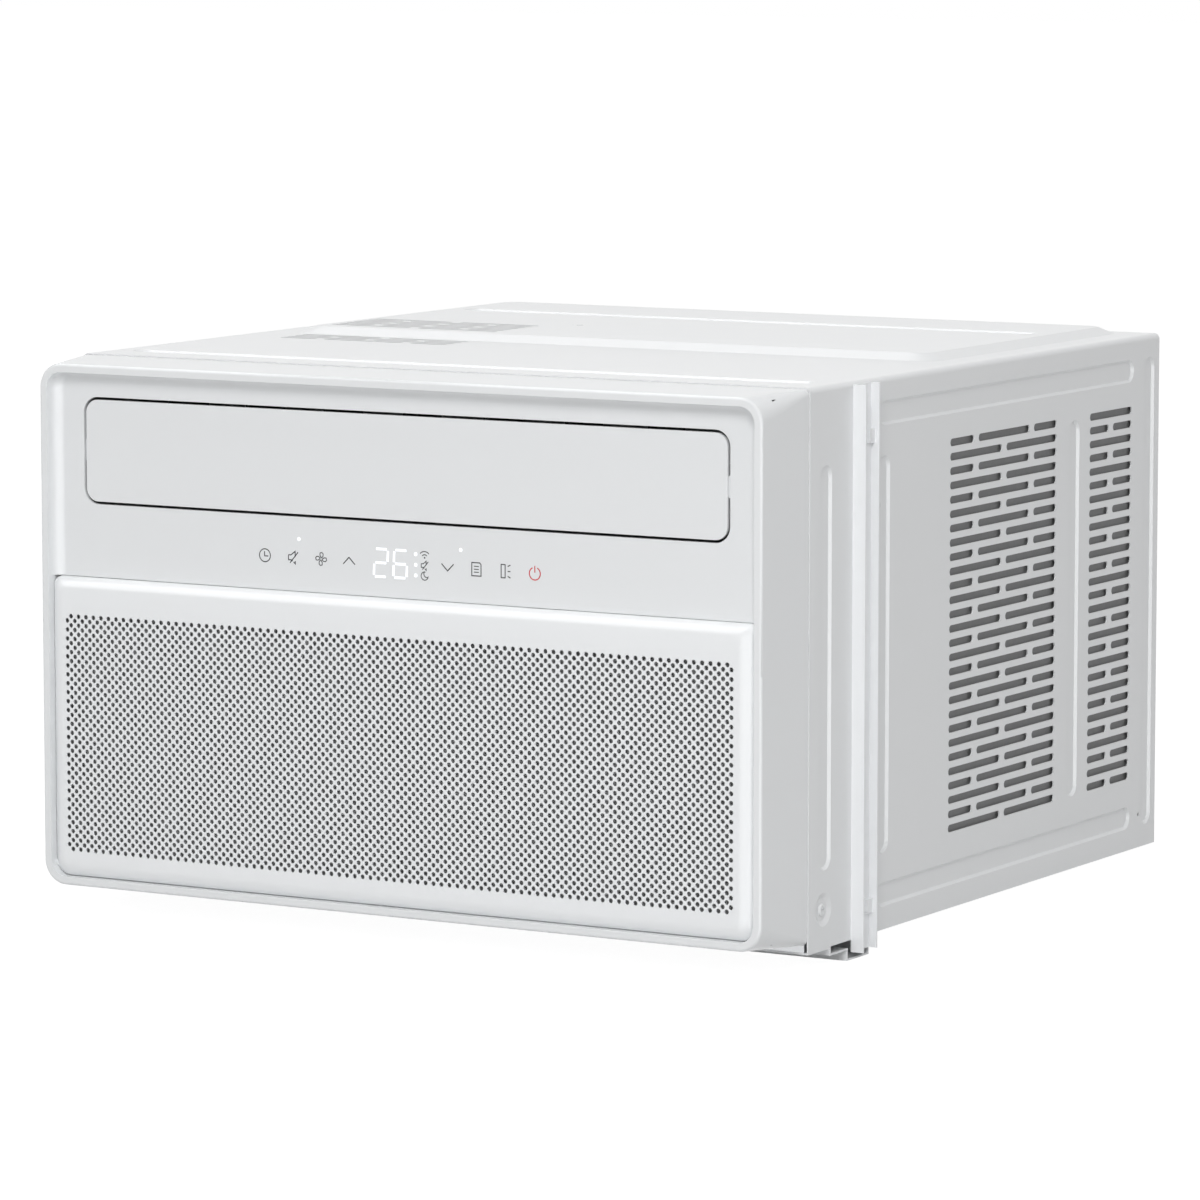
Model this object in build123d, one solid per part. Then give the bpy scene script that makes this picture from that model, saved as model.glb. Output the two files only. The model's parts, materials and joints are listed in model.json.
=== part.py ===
from build123d import *
import os
from math import cos, hypot, radians, sin

# Window air conditioner, as an assembly of separate pieces. Millimetres, +Z up.
# While modelling, Y 0 is the seam between front panel and case and +Y runs to the rear,
# X 0 is the middle, and Z 0 is the lower edge of the case.
# The last section moves the origin to the middle of the footprint, under the bottom rail.

# Case wrapper
CASE_WIDTH = 560.0
CASE_DEPTH = 524.0
CASE_HEIGHT = 364.0
SHEET = 1.0
TOP_BEND = 4.0
REAR_LIP = 12.0
FIT_GAP = 0.3

# Pressed grooves, dimples and the raised rear top of the case
GROOVE_WIDTH = 16.0
GROOVE_DEPTH = 1.8
GROOVE_SLOPE = 1.8
GROOVE_END_MARGIN = 51.0
SIDE_GROOVE_FRONT = 14.0
SIDE_GROOVE_BEHIND_RAIL = 12.0
SIDE_GROOVE_BETWEEN_VENTS = 145.0
SIDE_GROOVE_REAR = 24.0
LONG_GROOVE_MARGIN = 15.5
LONG_GROOVE_REAR_MARGIN = 42.0
DIMPLE_Y = 20.5
DIMPLE_Z = 25.5
DIMPLE_RADIUS = 11.0
TOP_GROOVE_FRONT = 29.0
TOP_GROOVE_SIDE_MARGIN = 18.0
PLATEAU_RISE = 4.7
PLATEAU_FRONT = 222.0
PLATEAU_REAR_MARGIN = 7.0
PLATEAU_SIDE_MARGIN = 25.0
PLATEAU_SLOPE = 10.0
PLATEAU_CORNER = 18.0
PLATEAU_GROOVE_REAR_MARGIN = 93.0
PLATEAU_GROOVE_SIDE_MARGIN = 48.0

# Vent slots of the case
SLOT_HEIGHT = 5.2
SLOT_PITCH = 9.6
SLOT_BRIDGE = 6.4
VENT_END_MARGIN = 51.0
WIDE_VENT_LENGTH = 161.5
WIDE_VENT_REAR_MARGIN = 165.0
NARROW_VENT_LENGTH = 68.0
NARROW_VENT_REAR_MARGIN = 44.5
TOP_VENT_LENGTH = 136.0
TOP_VENT_ROWS_FRONT = 4
TOP_VENT_ROWS_REAR = 7
SCREEN_SHEET = 0.8
SCREEN_MARGIN = 8.0

# Front panel
PANEL_DEPTH = 56.7
PANEL_WALL = 2.5
SEAM_STEP = 0.7
SEAM_BOTTOM = 5.0
RIM_SIDE_STEP = 3.8
RIM_TOP_STEP = 2.4
RIM_BOTTOM = 8.0
RIM_WIDTH = 5.7
RIM_CORNER = 17.0
RIM_ROUND = 1.8
RECESS_DEPTH = 10.5
RECESS_CORNER = 11.0
RECESS_FOOT_ROUND = 7.0
GRILLE_RECESS_DEPTH = 15.7
INTAKE_MARGIN = 15.0
EAR_LENGTH = 34.0
EAR_HEIGHT = 24.0
EAR_THICKNESS = 3.0

# Outlet flap
FLAP_SIDE_MARGIN = 24.9
FLAP_TOP_MARGIN = 26.5
FLAP_HEIGHT = 68.5
FLAP_THICKNESS = 2.6
FLAP_CORNER = 9.0
FLAP_GAP = 1.9
FLAP_ARM = 18.0
FLAP_ARM_HEIGHT = 14.0
FLAP_ARM_WIDTH = 5.0
FLAP_PIN_RADIUS = 3.0
RUNNING_GAP = 0.06

# Intake grille and filter
GRILLE_TOP_MARGIN = 146.5
GRILLE_GAP = 2.0
GRILLE_SET_BACK = 1.7
GRILLE_WALL = 2.0
GRILLE_EDGE_ROUND = 6.0
GRILLE_CORNER = 8.0
GRILLE_PIN_RADIUS = 2.5
GRILLE_PIN_LENGTH = 3.6
AIR_HOLE_RADIUS = 6.0
AIR_HOLE_PITCH = 21.0
AIR_FIELD_SIDE_MARGIN = 11.0
AIR_FIELD_LOW_MARGIN = 15.0
AIR_FIELD_TOP_MARGIN = 23.5
FILTER_FRAME_WIDTH = 9.0
FILTER_FRAME_DEPTH = 4.0
FILTER_MESH = 1.0

# Outlet duct and upright vanes
DUCT_WALL = 4.0
DUCT_STEP = 1.0
VANE_COUNT = 8
VANE_CHORD = 46.0
VANE_LEAD = 18.0
VANE_THICKNESS = 2.0
VANE_PIN_RADIUS = 2.0
VANE_END_GAP = 0.4
VANE_CLEARANCE = 2.0
CRANK_RADIUS = 24.0
CRANK_PIN_RADIUS = 1.5
CRANK_NOTCH_HEIGHT = 12.0
TIE_BAR_WIDTH = 7.0
TIE_BAR_HEIGHT = 6.0

# Flap motor, display board
FLAP_MOTOR_RADIUS = 13.0
FLAP_MOTOR_EAR = 5.0
FLAP_PIN_GRIP = 8.0
BOARD_WIDTH = 250.0
BOARD_THICKNESS = 1.6
DISPLAY_WIDTH = 46.0
DISPLAY_HEIGHT = 24.0
DISPLAY_THICKNESS = 2.0
STRIP_CENTRE_MARGIN = 123.5

# Base pan
PAN_SHEET = 1.2
PAN_SIDE_HEIGHT = 30.0
PAN_END_HEIGHT = 15.0
PAN_FOOT_LENGTH = 110.0
PAN_FOOT_WIDTH = 46.0
PAN_FOOT_SIDE_MARGIN = 80.0
PAN_FOOT_REAR_MARGIN = 40.0
DRAIN_RADIUS = 7.0

# Window rails
RAIL_SHEET = 1.2
RAIL_FRONT = 58.7
RAIL_CHANNEL = 22.8
RAIL_FRONT_FLANGE = 9.2
RAIL_REAR_FLANGE = 7.0
RAIL_DROP = 8.0
RAIL_TAB_HEIGHT = 9.0
RAIL_TAB_DEPTH = 2.8
RAIL_TAB_WIDTH = 7.0
RAIL_TAB_LOW = 20.0
RAIL_TAB_TOP_MARGIN = 36.5
STEP_ONE_DEPTH = 31.0
STEP_ONE_DROP = 6.0
STEP_TWO_DEPTH = 54.6
STEP_TWO_DROP = 13.1
STEP_FLOOR_REAR = 84.0
SILL_HOLE_RADIUS = 2.5
SILL_HOLE_SPACING = 360.0

# Coils
EVAP_FRONT = 6.0
EVAP_DEPTH = 38.0
EVAP_LEFT_MARGIN = 55.0
EVAP_RIGHT_MARGIN = 95.0
EVAP_TOP_GAP = 27.0
DRIP_TRAY_HEIGHT = 22.0
COND_DEPTH = 44.0
COND_REAR_MARGIN = 8.0
COND_LEFT_MARGIN = 30.0
COND_RIGHT_MARGIN = 45.0
COND_LOW = 6.0
COND_TOP_GAP = 38.0
COIL_PLATE = 1.5
FIN_GROOVE_PITCH = 29.0
FIN_GROOVE_WIDTH = 12.0
FIN_GROOVE_DEPTH = 5.0
TUBE_RADIUS = 4.8
TUBE_PITCH = 25.0
TUBE_STUB = 8.0

# Air moving parts
FAN_AXIS_X = -50.0
FAN_RADIUS = 135.0
FAN_WIDTH = 40.0
FAN_HUB_RADIUS = 32.0
FAN_BLADES = 5
FAN_BLADE_THICKNESS = 2.5
FAN_BLADE_PITCH = 32.0
SLINGER_WALL = 3.0
SLINGER_CLEARANCE = 13.8
WHEEL_RADIUS = 92.0
WHEEL_WIDTH = 66.0
WHEEL_BLADES = 36
WHEEL_BLADE_CHORD = 17.0
WHEEL_BLADE_THICKNESS = 1.4
WHEEL_HUB_RADIUS = 15.0
WHEEL_PLATE = 3.0
WHEEL_GAP = 7.0
SCROLL_TONGUE_GAP = 8.0
SCROLL_GROWTH = 34.0
SCROLL_WALL = 2.5
SCROLL_TONGUE_ANGLE = 50.0
INLET_RADIUS = 76.0
BULKHEAD = 1.5
BRACKET_STANDOFF = 8.0
BRACKET_PLATE = 2.5
BRACKET_REACH = 44.0
BRACKET_LEG_RADIUS = 6.0
MOTOR_RADIUS = 52.0
MOTOR_LENGTH = 80.0
SHAFT_RADIUS = 6.0
SHAFT_END = 9.0
NUT_RADIUS = 9.0
NUT_LENGTH = 6.0
SHROUD_SHEET = 2.0
SHROUD_GAP = 4.0
SHROUD_TO_COIL = 16.0
SHROUD_RING = 36.0

# Compressor and lines
COMPRESSOR_SIDE_MARGIN = 100.0
COMPRESSOR_BACK_GAP = 58.0
COMPRESSOR_RADIUS = 58.0
COMPRESSOR_HEIGHT = 205.0
COMPRESSOR_DOME = 26.0
COMPRESSOR_FOOT_RADIUS = 76.0
COMPRESSOR_FOOT = 3.0
GROMMET_RADIUS = 12.0
GROMMET_HEIGHT = 19.0
GROMMET_CIRCLE = 64.0
STUD_RADIUS = 4.0
ACCUMULATOR_RADIUS = 24.0
ACCUMULATOR_HEIGHT = 130.0
ACCUMULATOR_LOW = 50.0
LINE_RADIUS = 5.0
LINE_BEND = 9.0
CAPILLARY_RADIUS = 1.5
LINE_WALL_MARGIN = 15.0
LINE_GAP = 10.0

# Control box
BOX_SIDE_MARGIN = 8.0
BOX_SHEET = 1.2
BOX_LOW = 48.0
BOX_TOP_GAP = 20.0
BOX_GAP = 3.0
CAPACITOR_RADIUS = 20.0
CAPACITOR_HEIGHT = 80.0

# Screws and gland
SCREW_HEAD_RADIUS = 4.2
SCREW_HEAD = 1.5
SCREW_RADIUS = 2.0
SCREW_LENGTH = 5.0
SCREW_SOCKET_RADIUS = 1.3
PILOT_HOLE_RADIUS = 1.5
GLAND_RADIUS = 8.0
GLAND_BORE = 4.0
GLAND_FLANGE = 2.0
GLAND_Y = -18.0


# Helpers

def block(x0, x1, y0, y1, z0, z1):
    """Box between two corners."""
    middle = Pos((x0 + x1) / 2, (y0 + y1) / 2, (z0 + z1) / 2)
    return middle * Box(x1 - x0, y1 - y0, z1 - z0)


def rod_x(radius, x0, x1, y, z):
    return Pos((x0 + x1) / 2, y, z) * Rot(0, 90, 0) * Cylinder(radius, x1 - x0)


def rod_y(radius, x, y0, y1, z):
    return Pos(x, (y0 + y1) / 2, z) * Rot(90, 0, 0) * Cylinder(radius, y1 - y0)


def rod_z(radius, x, y, z0, z1):
    return Pos(x, y, (z0 + z1) / 2) * Cylinder(radius, z1 - z0)


def slab(face, y0, y1):
    """Plate from y0 to y1 with an outline drawn in X and Z."""
    return extrude(Plane.XZ.offset(-y1) * face, amount=y1 - y0)


def rectangle(x0, x1, z0, z1):
    return Pos((x0 + x1) / 2, (z0 + z1) / 2) * Rectangle(x1 - x0, z1 - z0)


def rounded(x0, x1, z0, z1, radius):
    return Pos((x0 + x1) / 2, (z0 + z1) / 2) * RectangleRounded(x1 - x0, z1 - z0, radius)


def top_rounded(x0, x1, z0, z1, radius):
    """Rectangle with its two upper corners rounded."""
    face = rectangle(x0, x1, z0, z1)
    return fillet(face.vertices().group_by(Axis.Y)[-1], radius)


def bottom_rounded(x0, x1, z0, z1, radius):
    face = rectangle(x0, x1, z0, z1)
    return fillet(face.vertices().group_by(Axis.Y)[0], radius)


def slot_outline(u0, u1, v0, v1):
    """Round-ended outline between two corners, long way either along u or along v."""
    width, height = u1 - u0, v1 - v0
    turn = 0 if width > height else 90
    outline = SlotOverall(max(width, height), min(width, height), rotation=turn)
    return Pos((u0 + u1) / 2, (v0 + v1) / 2) * outline


def pressed_groove(plane, u0, u1, v0, v1):
    """Sloped round-ended pocket, pressed in from the outside of a sheet."""
    mouth = slot_outline(u0, u1, v0, v1)
    floor = slot_outline(u0 + GROOVE_SLOPE, u1 - GROOVE_SLOPE, v0 + GROOVE_SLOPE, v1 - GROOVE_SLOPE)
    return loft([plane * mouth, plane.offset(-GROOVE_DEPTH) * floor], ruled=True)


def mirrored(shape):
    """The same piece on the other side of the middle."""
    return mirror(shape, about=Plane.YZ)


def tube(points, radius, bend):
    """Round bar along straight runs joined by arcs."""
    path = FilletPolyline(*points, radius=bend)
    return sweep(Plane(path @ 0, z_dir=path % 0) * Circle(radius), path=path)


def spans(start, end, bridges):
    """Stretches between the bridges of a slotted row, bridges given as shares of its length."""
    cuts = [start + (end - start) * share for share in bridges]
    begins = [start] + [cut + SLOT_BRIDGE / 2 for cut in cuts]
    ends = [cut - SLOT_BRIDGE / 2 for cut in cuts] + [end]
    return list(zip(begins, ends))


# Places shared by several pieces

half_width = CASE_WIDTH / 2
inner_half = half_width - GROOVE_DEPTH - SHEET - FIT_GAP
inner_top = CASE_HEIGHT - SHEET - GROOVE_DEPTH - FIT_GAP

rim_y = -PANEL_DEPTH
rim_half = half_width - RIM_SIDE_STEP
rim_top = CASE_HEIGHT - RIM_TOP_STEP
recess_half = rim_half - RIM_WIDTH
recess_top = rim_top - RIM_WIDTH
recess_low = RIM_BOTTOM + RIM_WIDTH
strip_y = rim_y + RECESS_DEPTH
strip_back = strip_y + PANEL_WALL
intake_y = rim_y + GRILLE_RECESS_DEPTH
intake_back = intake_y + PANEL_WALL

grille_y = rim_y + GRILLE_SET_BACK
grille_half = recess_half - GRILLE_GAP
grille_low = recess_low + GRILLE_GAP
grille_top = CASE_HEIGHT - GRILLE_TOP_MARGIN
strip_low = grille_top + FIT_GAP
hinge_y = grille_y + GRILLE_EDGE_ROUND
hinge_z = grille_low + GRILLE_EDGE_ROUND

flap_half = recess_half - FLAP_SIDE_MARGIN
flap_top = CASE_HEIGHT - FLAP_TOP_MARGIN
flap_low = flap_top - FLAP_HEIGHT
flap_axis_y = strip_y + FLAP_ARM
flap_axis_z = (flap_top + flap_low) / 2
flap_sweep = hypot(FLAP_ARM, FLAP_HEIGHT / 2)

duct_half = flap_half + FLAP_GAP + DUCT_STEP
duct_low = flap_axis_z - flap_sweep - DUCT_STEP
duct_top = flap_axis_z + flap_sweep + DUCT_STEP
duct_bottom = duct_low - DUCT_WALL
duct_front = strip_back + FIT_GAP
vane_axis_y = flap_axis_y + flap_sweep + VANE_CLEARANCE + VANE_LEAD
crank_y = vane_axis_y + CRANK_RADIUS
vane_pitch = 2 * duct_half / VANE_COUNT
vane_places = [vane_pitch * (index + 0.5) - duct_half for index in range(VANE_COUNT)]

pan_floor = PAN_SHEET
fan_axis_z = pan_floor + SLINGER_CLEARANCE + FAN_RADIUS
evap_left = EVAP_LEFT_MARGIN - half_width
evap_right = half_width - EVAP_RIGHT_MARGIN
evap_back = EVAP_FRONT + EVAP_DEPTH
evap_low = pan_floor + DRIP_TRAY_HEIGHT
evap_top = duct_bottom - EVAP_TOP_GAP
evap_tube_y = EVAP_FRONT + EVAP_DEPTH / 2
orifice_y = evap_back + FIT_GAP
wheel_front = orifice_y + SCROLL_WALL + WHEEL_GAP
wheel_back = wheel_front + WHEEL_WIDTH
bulkhead_y = wheel_back + WHEEL_GAP
bulkhead_back = bulkhead_y + BULKHEAD
motor_front = bulkhead_back + BRACKET_STANDOFF + BRACKET_PLATE
motor_back = motor_front + MOTOR_LENGTH

cond_back = CASE_DEPTH - COND_REAR_MARGIN
cond_front = cond_back - COND_DEPTH
cond_tube_y = cond_front + COND_DEPTH / 2
cond_left = COND_LEFT_MARGIN - half_width
cond_right = half_width - COND_RIGHT_MARGIN
cond_top = CASE_HEIGHT - COND_TOP_GAP
shroud_back = cond_front - SHROUD_TO_COIL
shroud_front = shroud_back - SHROUD_SHEET
fan_back = shroud_front - SHROUD_GAP
fan_front = fan_back - FAN_WIDTH

compressor_x = half_width - COMPRESSOR_SIDE_MARGIN
compressor_y = bulkhead_back + COMPRESSOR_BACK_GAP + COMPRESSOR_RADIUS
compressor_low = pan_floor + GROMMET_HEIGHT
compressor_top = compressor_low + COMPRESSOR_FOOT + COMPRESSOR_HEIGHT
accumulator_x = compressor_x - COMPRESSOR_RADIUS - ACCUMULATOR_RADIUS - FIT_GAP
bend_reach = COIL_PLATE + 1 + TUBE_PITCH / 2
line_x = half_width - LINE_WALL_MARGIN
suction_x = evap_right + bend_reach + TUBE_RADIUS + LINE_RADIUS + FIT_GAP
suction_z = duct_bottom - LINE_GAP
floor_z = -STEP_TWO_DROP
ear_low = DIMPLE_Z - EAR_HEIGHT / 2
ear_high = DIMPLE_Z + EAR_HEIGHT / 2
gland_z = ear_high + 2 * GLAND_RADIUS
pocket_half = recess_half - PANEL_WALL


def coil_rows(low, top):
    """Heights of the tube runs of a coil, always an even number of them, centred in it."""
    count = 2 * int((top - low) / TUBE_PITCH / 2)
    first = (low + top - TUBE_PITCH * (count - 1)) / 2
    return [first + TUBE_PITCH * row for row in range(count)]


evap_rows = coil_rows(evap_low, evap_top)
cond_rows = coil_rows(COND_LOW, cond_top)


# Case and rails

def slot_rows(y0, y1, even_bridges, odd_bridges):
    """Vent slots of one block, cut through both sides of the case."""
    count = int((CASE_HEIGHT - 2 * VENT_END_MARGIN) / SLOT_PITCH) + 1
    first = CASE_HEIGHT - VENT_END_MARGIN
    cutters = []
    for row in range(count):
        z = first - SLOT_PITCH * row
        for start, end in spans(y0, y1, odd_bridges if row % 2 else even_bridges):
            outline = slot_outline(start, end, z - SLOT_HEIGHT / 2, z + SLOT_HEIGHT / 2)
            cutters.append(extrude(Plane.YZ.offset(-half_width) * outline, amount=CASE_WIDTH))
    return cutters


def top_slots():
    """Vent slots in the left of the top, before and behind the front slope of the raised part."""
    left = PLATEAU_SIDE_MARGIN + PLATEAU_SLOPE + SLOT_BRIDGE - half_width
    front_first = PLATEAU_FRONT - SLOT_PITCH
    rear_first = PLATEAU_FRONT + PLATEAU_SLOPE + 2 * SLOT_PITCH
    rows = [front_first - SLOT_PITCH * row for row in range(TOP_VENT_ROWS_FRONT)]
    rows += [rear_first + SLOT_PITCH * row for row in range(TOP_VENT_ROWS_REAR)]
    cutters = []
    for row, y in enumerate(rows):
        for start, end in spans(left, left + TOP_VENT_LENGTH, [0.24, 0.76] if row % 2 else [0.5]):
            outline = slot_outline(start, end, y - SLOT_HEIGHT / 2, y + SLOT_HEIGHT / 2)
            base = Plane.XY.offset(CASE_HEIGHT - 2 * SHEET)
            cutters.append(extrude(base * outline, amount=PLATEAU_RISE + 3 * SHEET))
    return cutters


def side_pressings():
    """Grooves and dimple of the right side."""
    side = Plane.YZ.offset(half_width)
    upright_low = GROOVE_END_MARGIN
    upright_high = CASE_HEIGHT - GROOVE_END_MARGIN
    behind_rail = RAIL_FRONT + RAIL_CHANNEL + RAIL_SHEET + SIDE_GROOVE_BEHIND_RAIL
    between_vents = CASE_DEPTH - SIDE_GROOVE_BETWEEN_VENTS
    rear = CASE_DEPTH - SIDE_GROOVE_REAR
    long_end = CASE_DEPTH - LONG_GROOVE_REAR_MARGIN
    lower = LONG_GROOVE_MARGIN
    upper = CASE_HEIGHT - LONG_GROOVE_MARGIN - GROOVE_WIDTH
    shapes = []
    for y in (SIDE_GROOVE_FRONT, behind_rail, between_vents):
        shapes.append(pressed_groove(side, y, y + GROOVE_WIDTH, upright_low, upright_high))
    shapes.append(pressed_groove(side, rear, rear + GROOVE_WIDTH, lower, upper + GROOVE_WIDTH))
    for z in (lower, upper):
        shapes.append(pressed_groove(side, behind_rail, long_end, z, z + GROOVE_WIDTH))
    mouth = Pos(DIMPLE_Y, DIMPLE_Z) * Circle(DIMPLE_RADIUS)
    floor = Pos(DIMPLE_Y, DIMPLE_Z) * Circle(DIMPLE_RADIUS - 2 * GROOVE_SLOPE)
    shapes.append(loft([side * mouth, side.offset(-GROOVE_DEPTH) * floor], ruled=True))
    return shapes


def make_case():
    outside = top_rounded(-half_width, half_width, 0, CASE_HEIGHT, TOP_BEND)
    inside = top_rounded(SHEET - half_width, half_width - SHEET, 0, CASE_HEIGHT - SHEET, TOP_BEND - SHEET)
    rear_window = rectangle(REAR_LIP - half_width, half_width - REAR_LIP, 0, CASE_HEIGHT - REAR_LIP)
    shell = slab(outside - inside, 0, CASE_DEPTH)
    shell += slab(outside - rear_window, CASE_DEPTH - SHEET, CASE_DEPTH)

    plateau_half = half_width - PLATEAU_SIDE_MARGIN
    plateau_rear = CASE_DEPTH - PLATEAU_REAR_MARGIN
    roof = Plane.XY.offset(CASE_HEIGHT)
    foot = rounded(-plateau_half, plateau_half, PLATEAU_FRONT, plateau_rear, PLATEAU_CORNER)
    crest_half = plateau_half - PLATEAU_SLOPE
    crest_front = PLATEAU_FRONT + PLATEAU_SLOPE
    crest_rear = plateau_rear - PLATEAU_SLOPE
    crest = rounded(-crest_half, crest_half, crest_front, crest_rear, PLATEAU_CORNER - PLATEAU_SLOPE / 2)
    plateau = loft([roof * foot, roof.offset(PLATEAU_RISE) * crest], ruled=True)
    shell += plateau
    shell -= Pos(0, 0, -SHEET) * plateau

    front_groove_half = half_width - TOP_GROOVE_SIDE_MARGIN
    rear_groove_half = half_width - PLATEAU_GROOVE_SIDE_MARGIN
    rear_groove_y = CASE_DEPTH - PLATEAU_GROOVE_REAR_MARGIN
    crest_plane = roof.offset(PLATEAU_RISE)
    front_end = TOP_GROOVE_FRONT + GROOVE_WIDTH
    rear_start = rear_groove_y - GROOVE_WIDTH
    top = [
        pressed_groove(roof, -front_groove_half, front_groove_half, TOP_GROOVE_FRONT, front_end),
        pressed_groove(crest_plane, -rear_groove_half, rear_groove_half, rear_start, rear_groove_y),
    ]
    right = side_pressings()
    left = [mirrored(shape) for shape in right]
    bosses = [Pos(-SHEET, 0, 0) * shape for shape in right]
    bosses += [Pos(SHEET, 0, 0) * shape for shape in left]
    bosses += [Pos(0, 0, -SHEET) * shape for shape in top]
    shell += bosses
    shell -= right + left + top

    wide_end = CASE_DEPTH - WIDE_VENT_REAR_MARGIN
    narrow_end = CASE_DEPTH - NARROW_VENT_REAR_MARGIN
    cutters = slot_rows(wide_end - WIDE_VENT_LENGTH, wide_end, [0.24, 0.76], [0.5])
    cutters += slot_rows(narrow_end - NARROW_VENT_LENGTH, narrow_end, [], [0.5])
    cutters += top_slots()
    screw_hole = rod_x(SCREW_RADIUS + FIT_GAP, -half_width, half_width, DIMPLE_Y, DIMPLE_Z)
    pilot_y = CASE_DEPTH - SIDE_GROOVE_REAR - PILOT_HOLE_RADIUS
    pilot_z = LONG_GROOVE_MARGIN + GROOVE_WIDTH / 2
    pilot_hole = rod_x(PILOT_HOLE_RADIUS, -half_width, half_width, pilot_y - SCREW_RADIUS, pilot_z)
    return shell - (cutters + [screw_hole, pilot_hole])


def make_side_screen():
    """Net close behind the slots of the right side, standing on the flange of the base pan."""
    front = CASE_DEPTH - WIDE_VENT_REAR_MARGIN - WIDE_VENT_LENGTH - SCREEN_MARGIN
    rear = CASE_DEPTH - NARROW_VENT_REAR_MARGIN + SCREEN_MARGIN
    top = CASE_HEIGHT - VENT_END_MARGIN + SLOT_HEIGHT / 2 + SCREEN_MARGIN
    return block(inner_half - SCREEN_SHEET, inner_half, front, rear, PAN_SIDE_HEIGHT, top)


def make_base_pan():
    front = FIT_GAP
    rear = CASE_DEPTH - SHEET - FIT_GAP
    pan = block(-inner_half, inner_half, front, rear, 0, pan_floor)
    for side in (-1, 1):
        outer = side * inner_half
        inner = outer - side * PAN_SHEET
        pan += block(min(outer, inner), max(outer, inner), front, rear, 0, PAN_SIDE_HEIGHT)
    pan += block(-inner_half, inner_half, front, front + PAN_SHEET, 0, ear_low - FIT_GAP)
    pan += block(-inner_half, inner_half, rear - PAN_SHEET, rear, 0, PAN_END_HEIGHT)
    foot_rear = CASE_DEPTH - PAN_FOOT_REAR_MARGIN
    for side in (-1, 1):
        far = side * (half_width - PAN_FOOT_SIDE_MARGIN)
        near = far - side * PAN_FOOT_LENGTH
        x0, x1 = min(far, near), max(far, near)
        y0, y1 = foot_rear - PAN_FOOT_WIDTH, foot_rear
        pan += block(x0, x1, y0, y1, floor_z, 0)
        pan -= block(x0 + PAN_SHEET, x1 - PAN_SHEET, y0 + PAN_SHEET, y1 - PAN_SHEET,
                     floor_z + PAN_SHEET, pan_floor)
    for side in (-1, 1):
        reach = inner_half - PAN_SHEET
        x0, x1 = (reach - 1, half_width) if side > 0 else (-half_width, 1 - reach)
        pan -= rod_x(SCREW_RADIUS + FIT_GAP, x0, x1, DIMPLE_Y, DIMPLE_Z)
    pan -= rod_z(DRAIN_RADIUS, drain_x, drain_y, 0, pan_floor)
    return pan


def make_side_rail():
    """Curtain channel of the right side: web on the case, two flanges and two clip tabs."""
    low, high = -RAIL_DROP, CASE_HEIGHT - TOP_BEND / 2
    web_out = half_width + RAIL_SHEET
    rear = RAIL_FRONT + RAIL_CHANNEL
    rail = block(half_width, web_out, RAIL_FRONT, rear + RAIL_SHEET, low, high)
    rail += block(half_width, half_width + RAIL_FRONT_FLANGE, RAIL_FRONT, RAIL_FRONT + RAIL_SHEET, low, high)
    rail += block(half_width, half_width + RAIL_REAR_FLANGE, rear, rear + RAIL_SHEET, low, high)
    for z in (RAIL_TAB_LOW, CASE_HEIGHT - RAIL_TAB_TOP_MARGIN):
        rail += block(web_out, web_out + RAIL_TAB_DEPTH, rear - RAIL_TAB_WIDTH, rear,
                      z - RAIL_TAB_HEIGHT / 2, z + RAIL_TAB_HEIGHT / 2)
    return rail


def make_bottom_rail():
    """Stepped sheet under the front of the case, down to the sill floor and up again behind it."""
    sheet = RAIL_SHEET
    outline = Polyline(
        (0, 0), (STEP_ONE_DEPTH, 0), (STEP_ONE_DEPTH, sheet - STEP_ONE_DROP),
        (STEP_TWO_DEPTH, sheet - STEP_ONE_DROP), (STEP_TWO_DEPTH, sheet + floor_z),
        (STEP_FLOOR_REAR - sheet, sheet + floor_z), (STEP_FLOOR_REAR - sheet, 0), (STEP_FLOOR_REAR, 0),
        (STEP_FLOOR_REAR, floor_z), (STEP_TWO_DEPTH - sheet, floor_z), (STEP_TWO_DEPTH - sheet, -STEP_ONE_DROP),
        (STEP_ONE_DEPTH - sheet, -STEP_ONE_DROP), (STEP_ONE_DEPTH - sheet, -sheet), (0, -sheet), close=True)
    rail = extrude(Plane.YZ.offset(-half_width) * make_face(outline), amount=CASE_WIDTH)
    hole_y = (STEP_TWO_DEPTH + STEP_FLOOR_REAR - sheet) / 2
    for side in (-1, 1):
        rail -= rod_z(SILL_HOLE_RADIUS, side * SILL_HOLE_SPACING / 2, hole_y, floor_z, floor_z + sheet)
    return rail


# Front panel, grille, filter and flap

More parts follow.
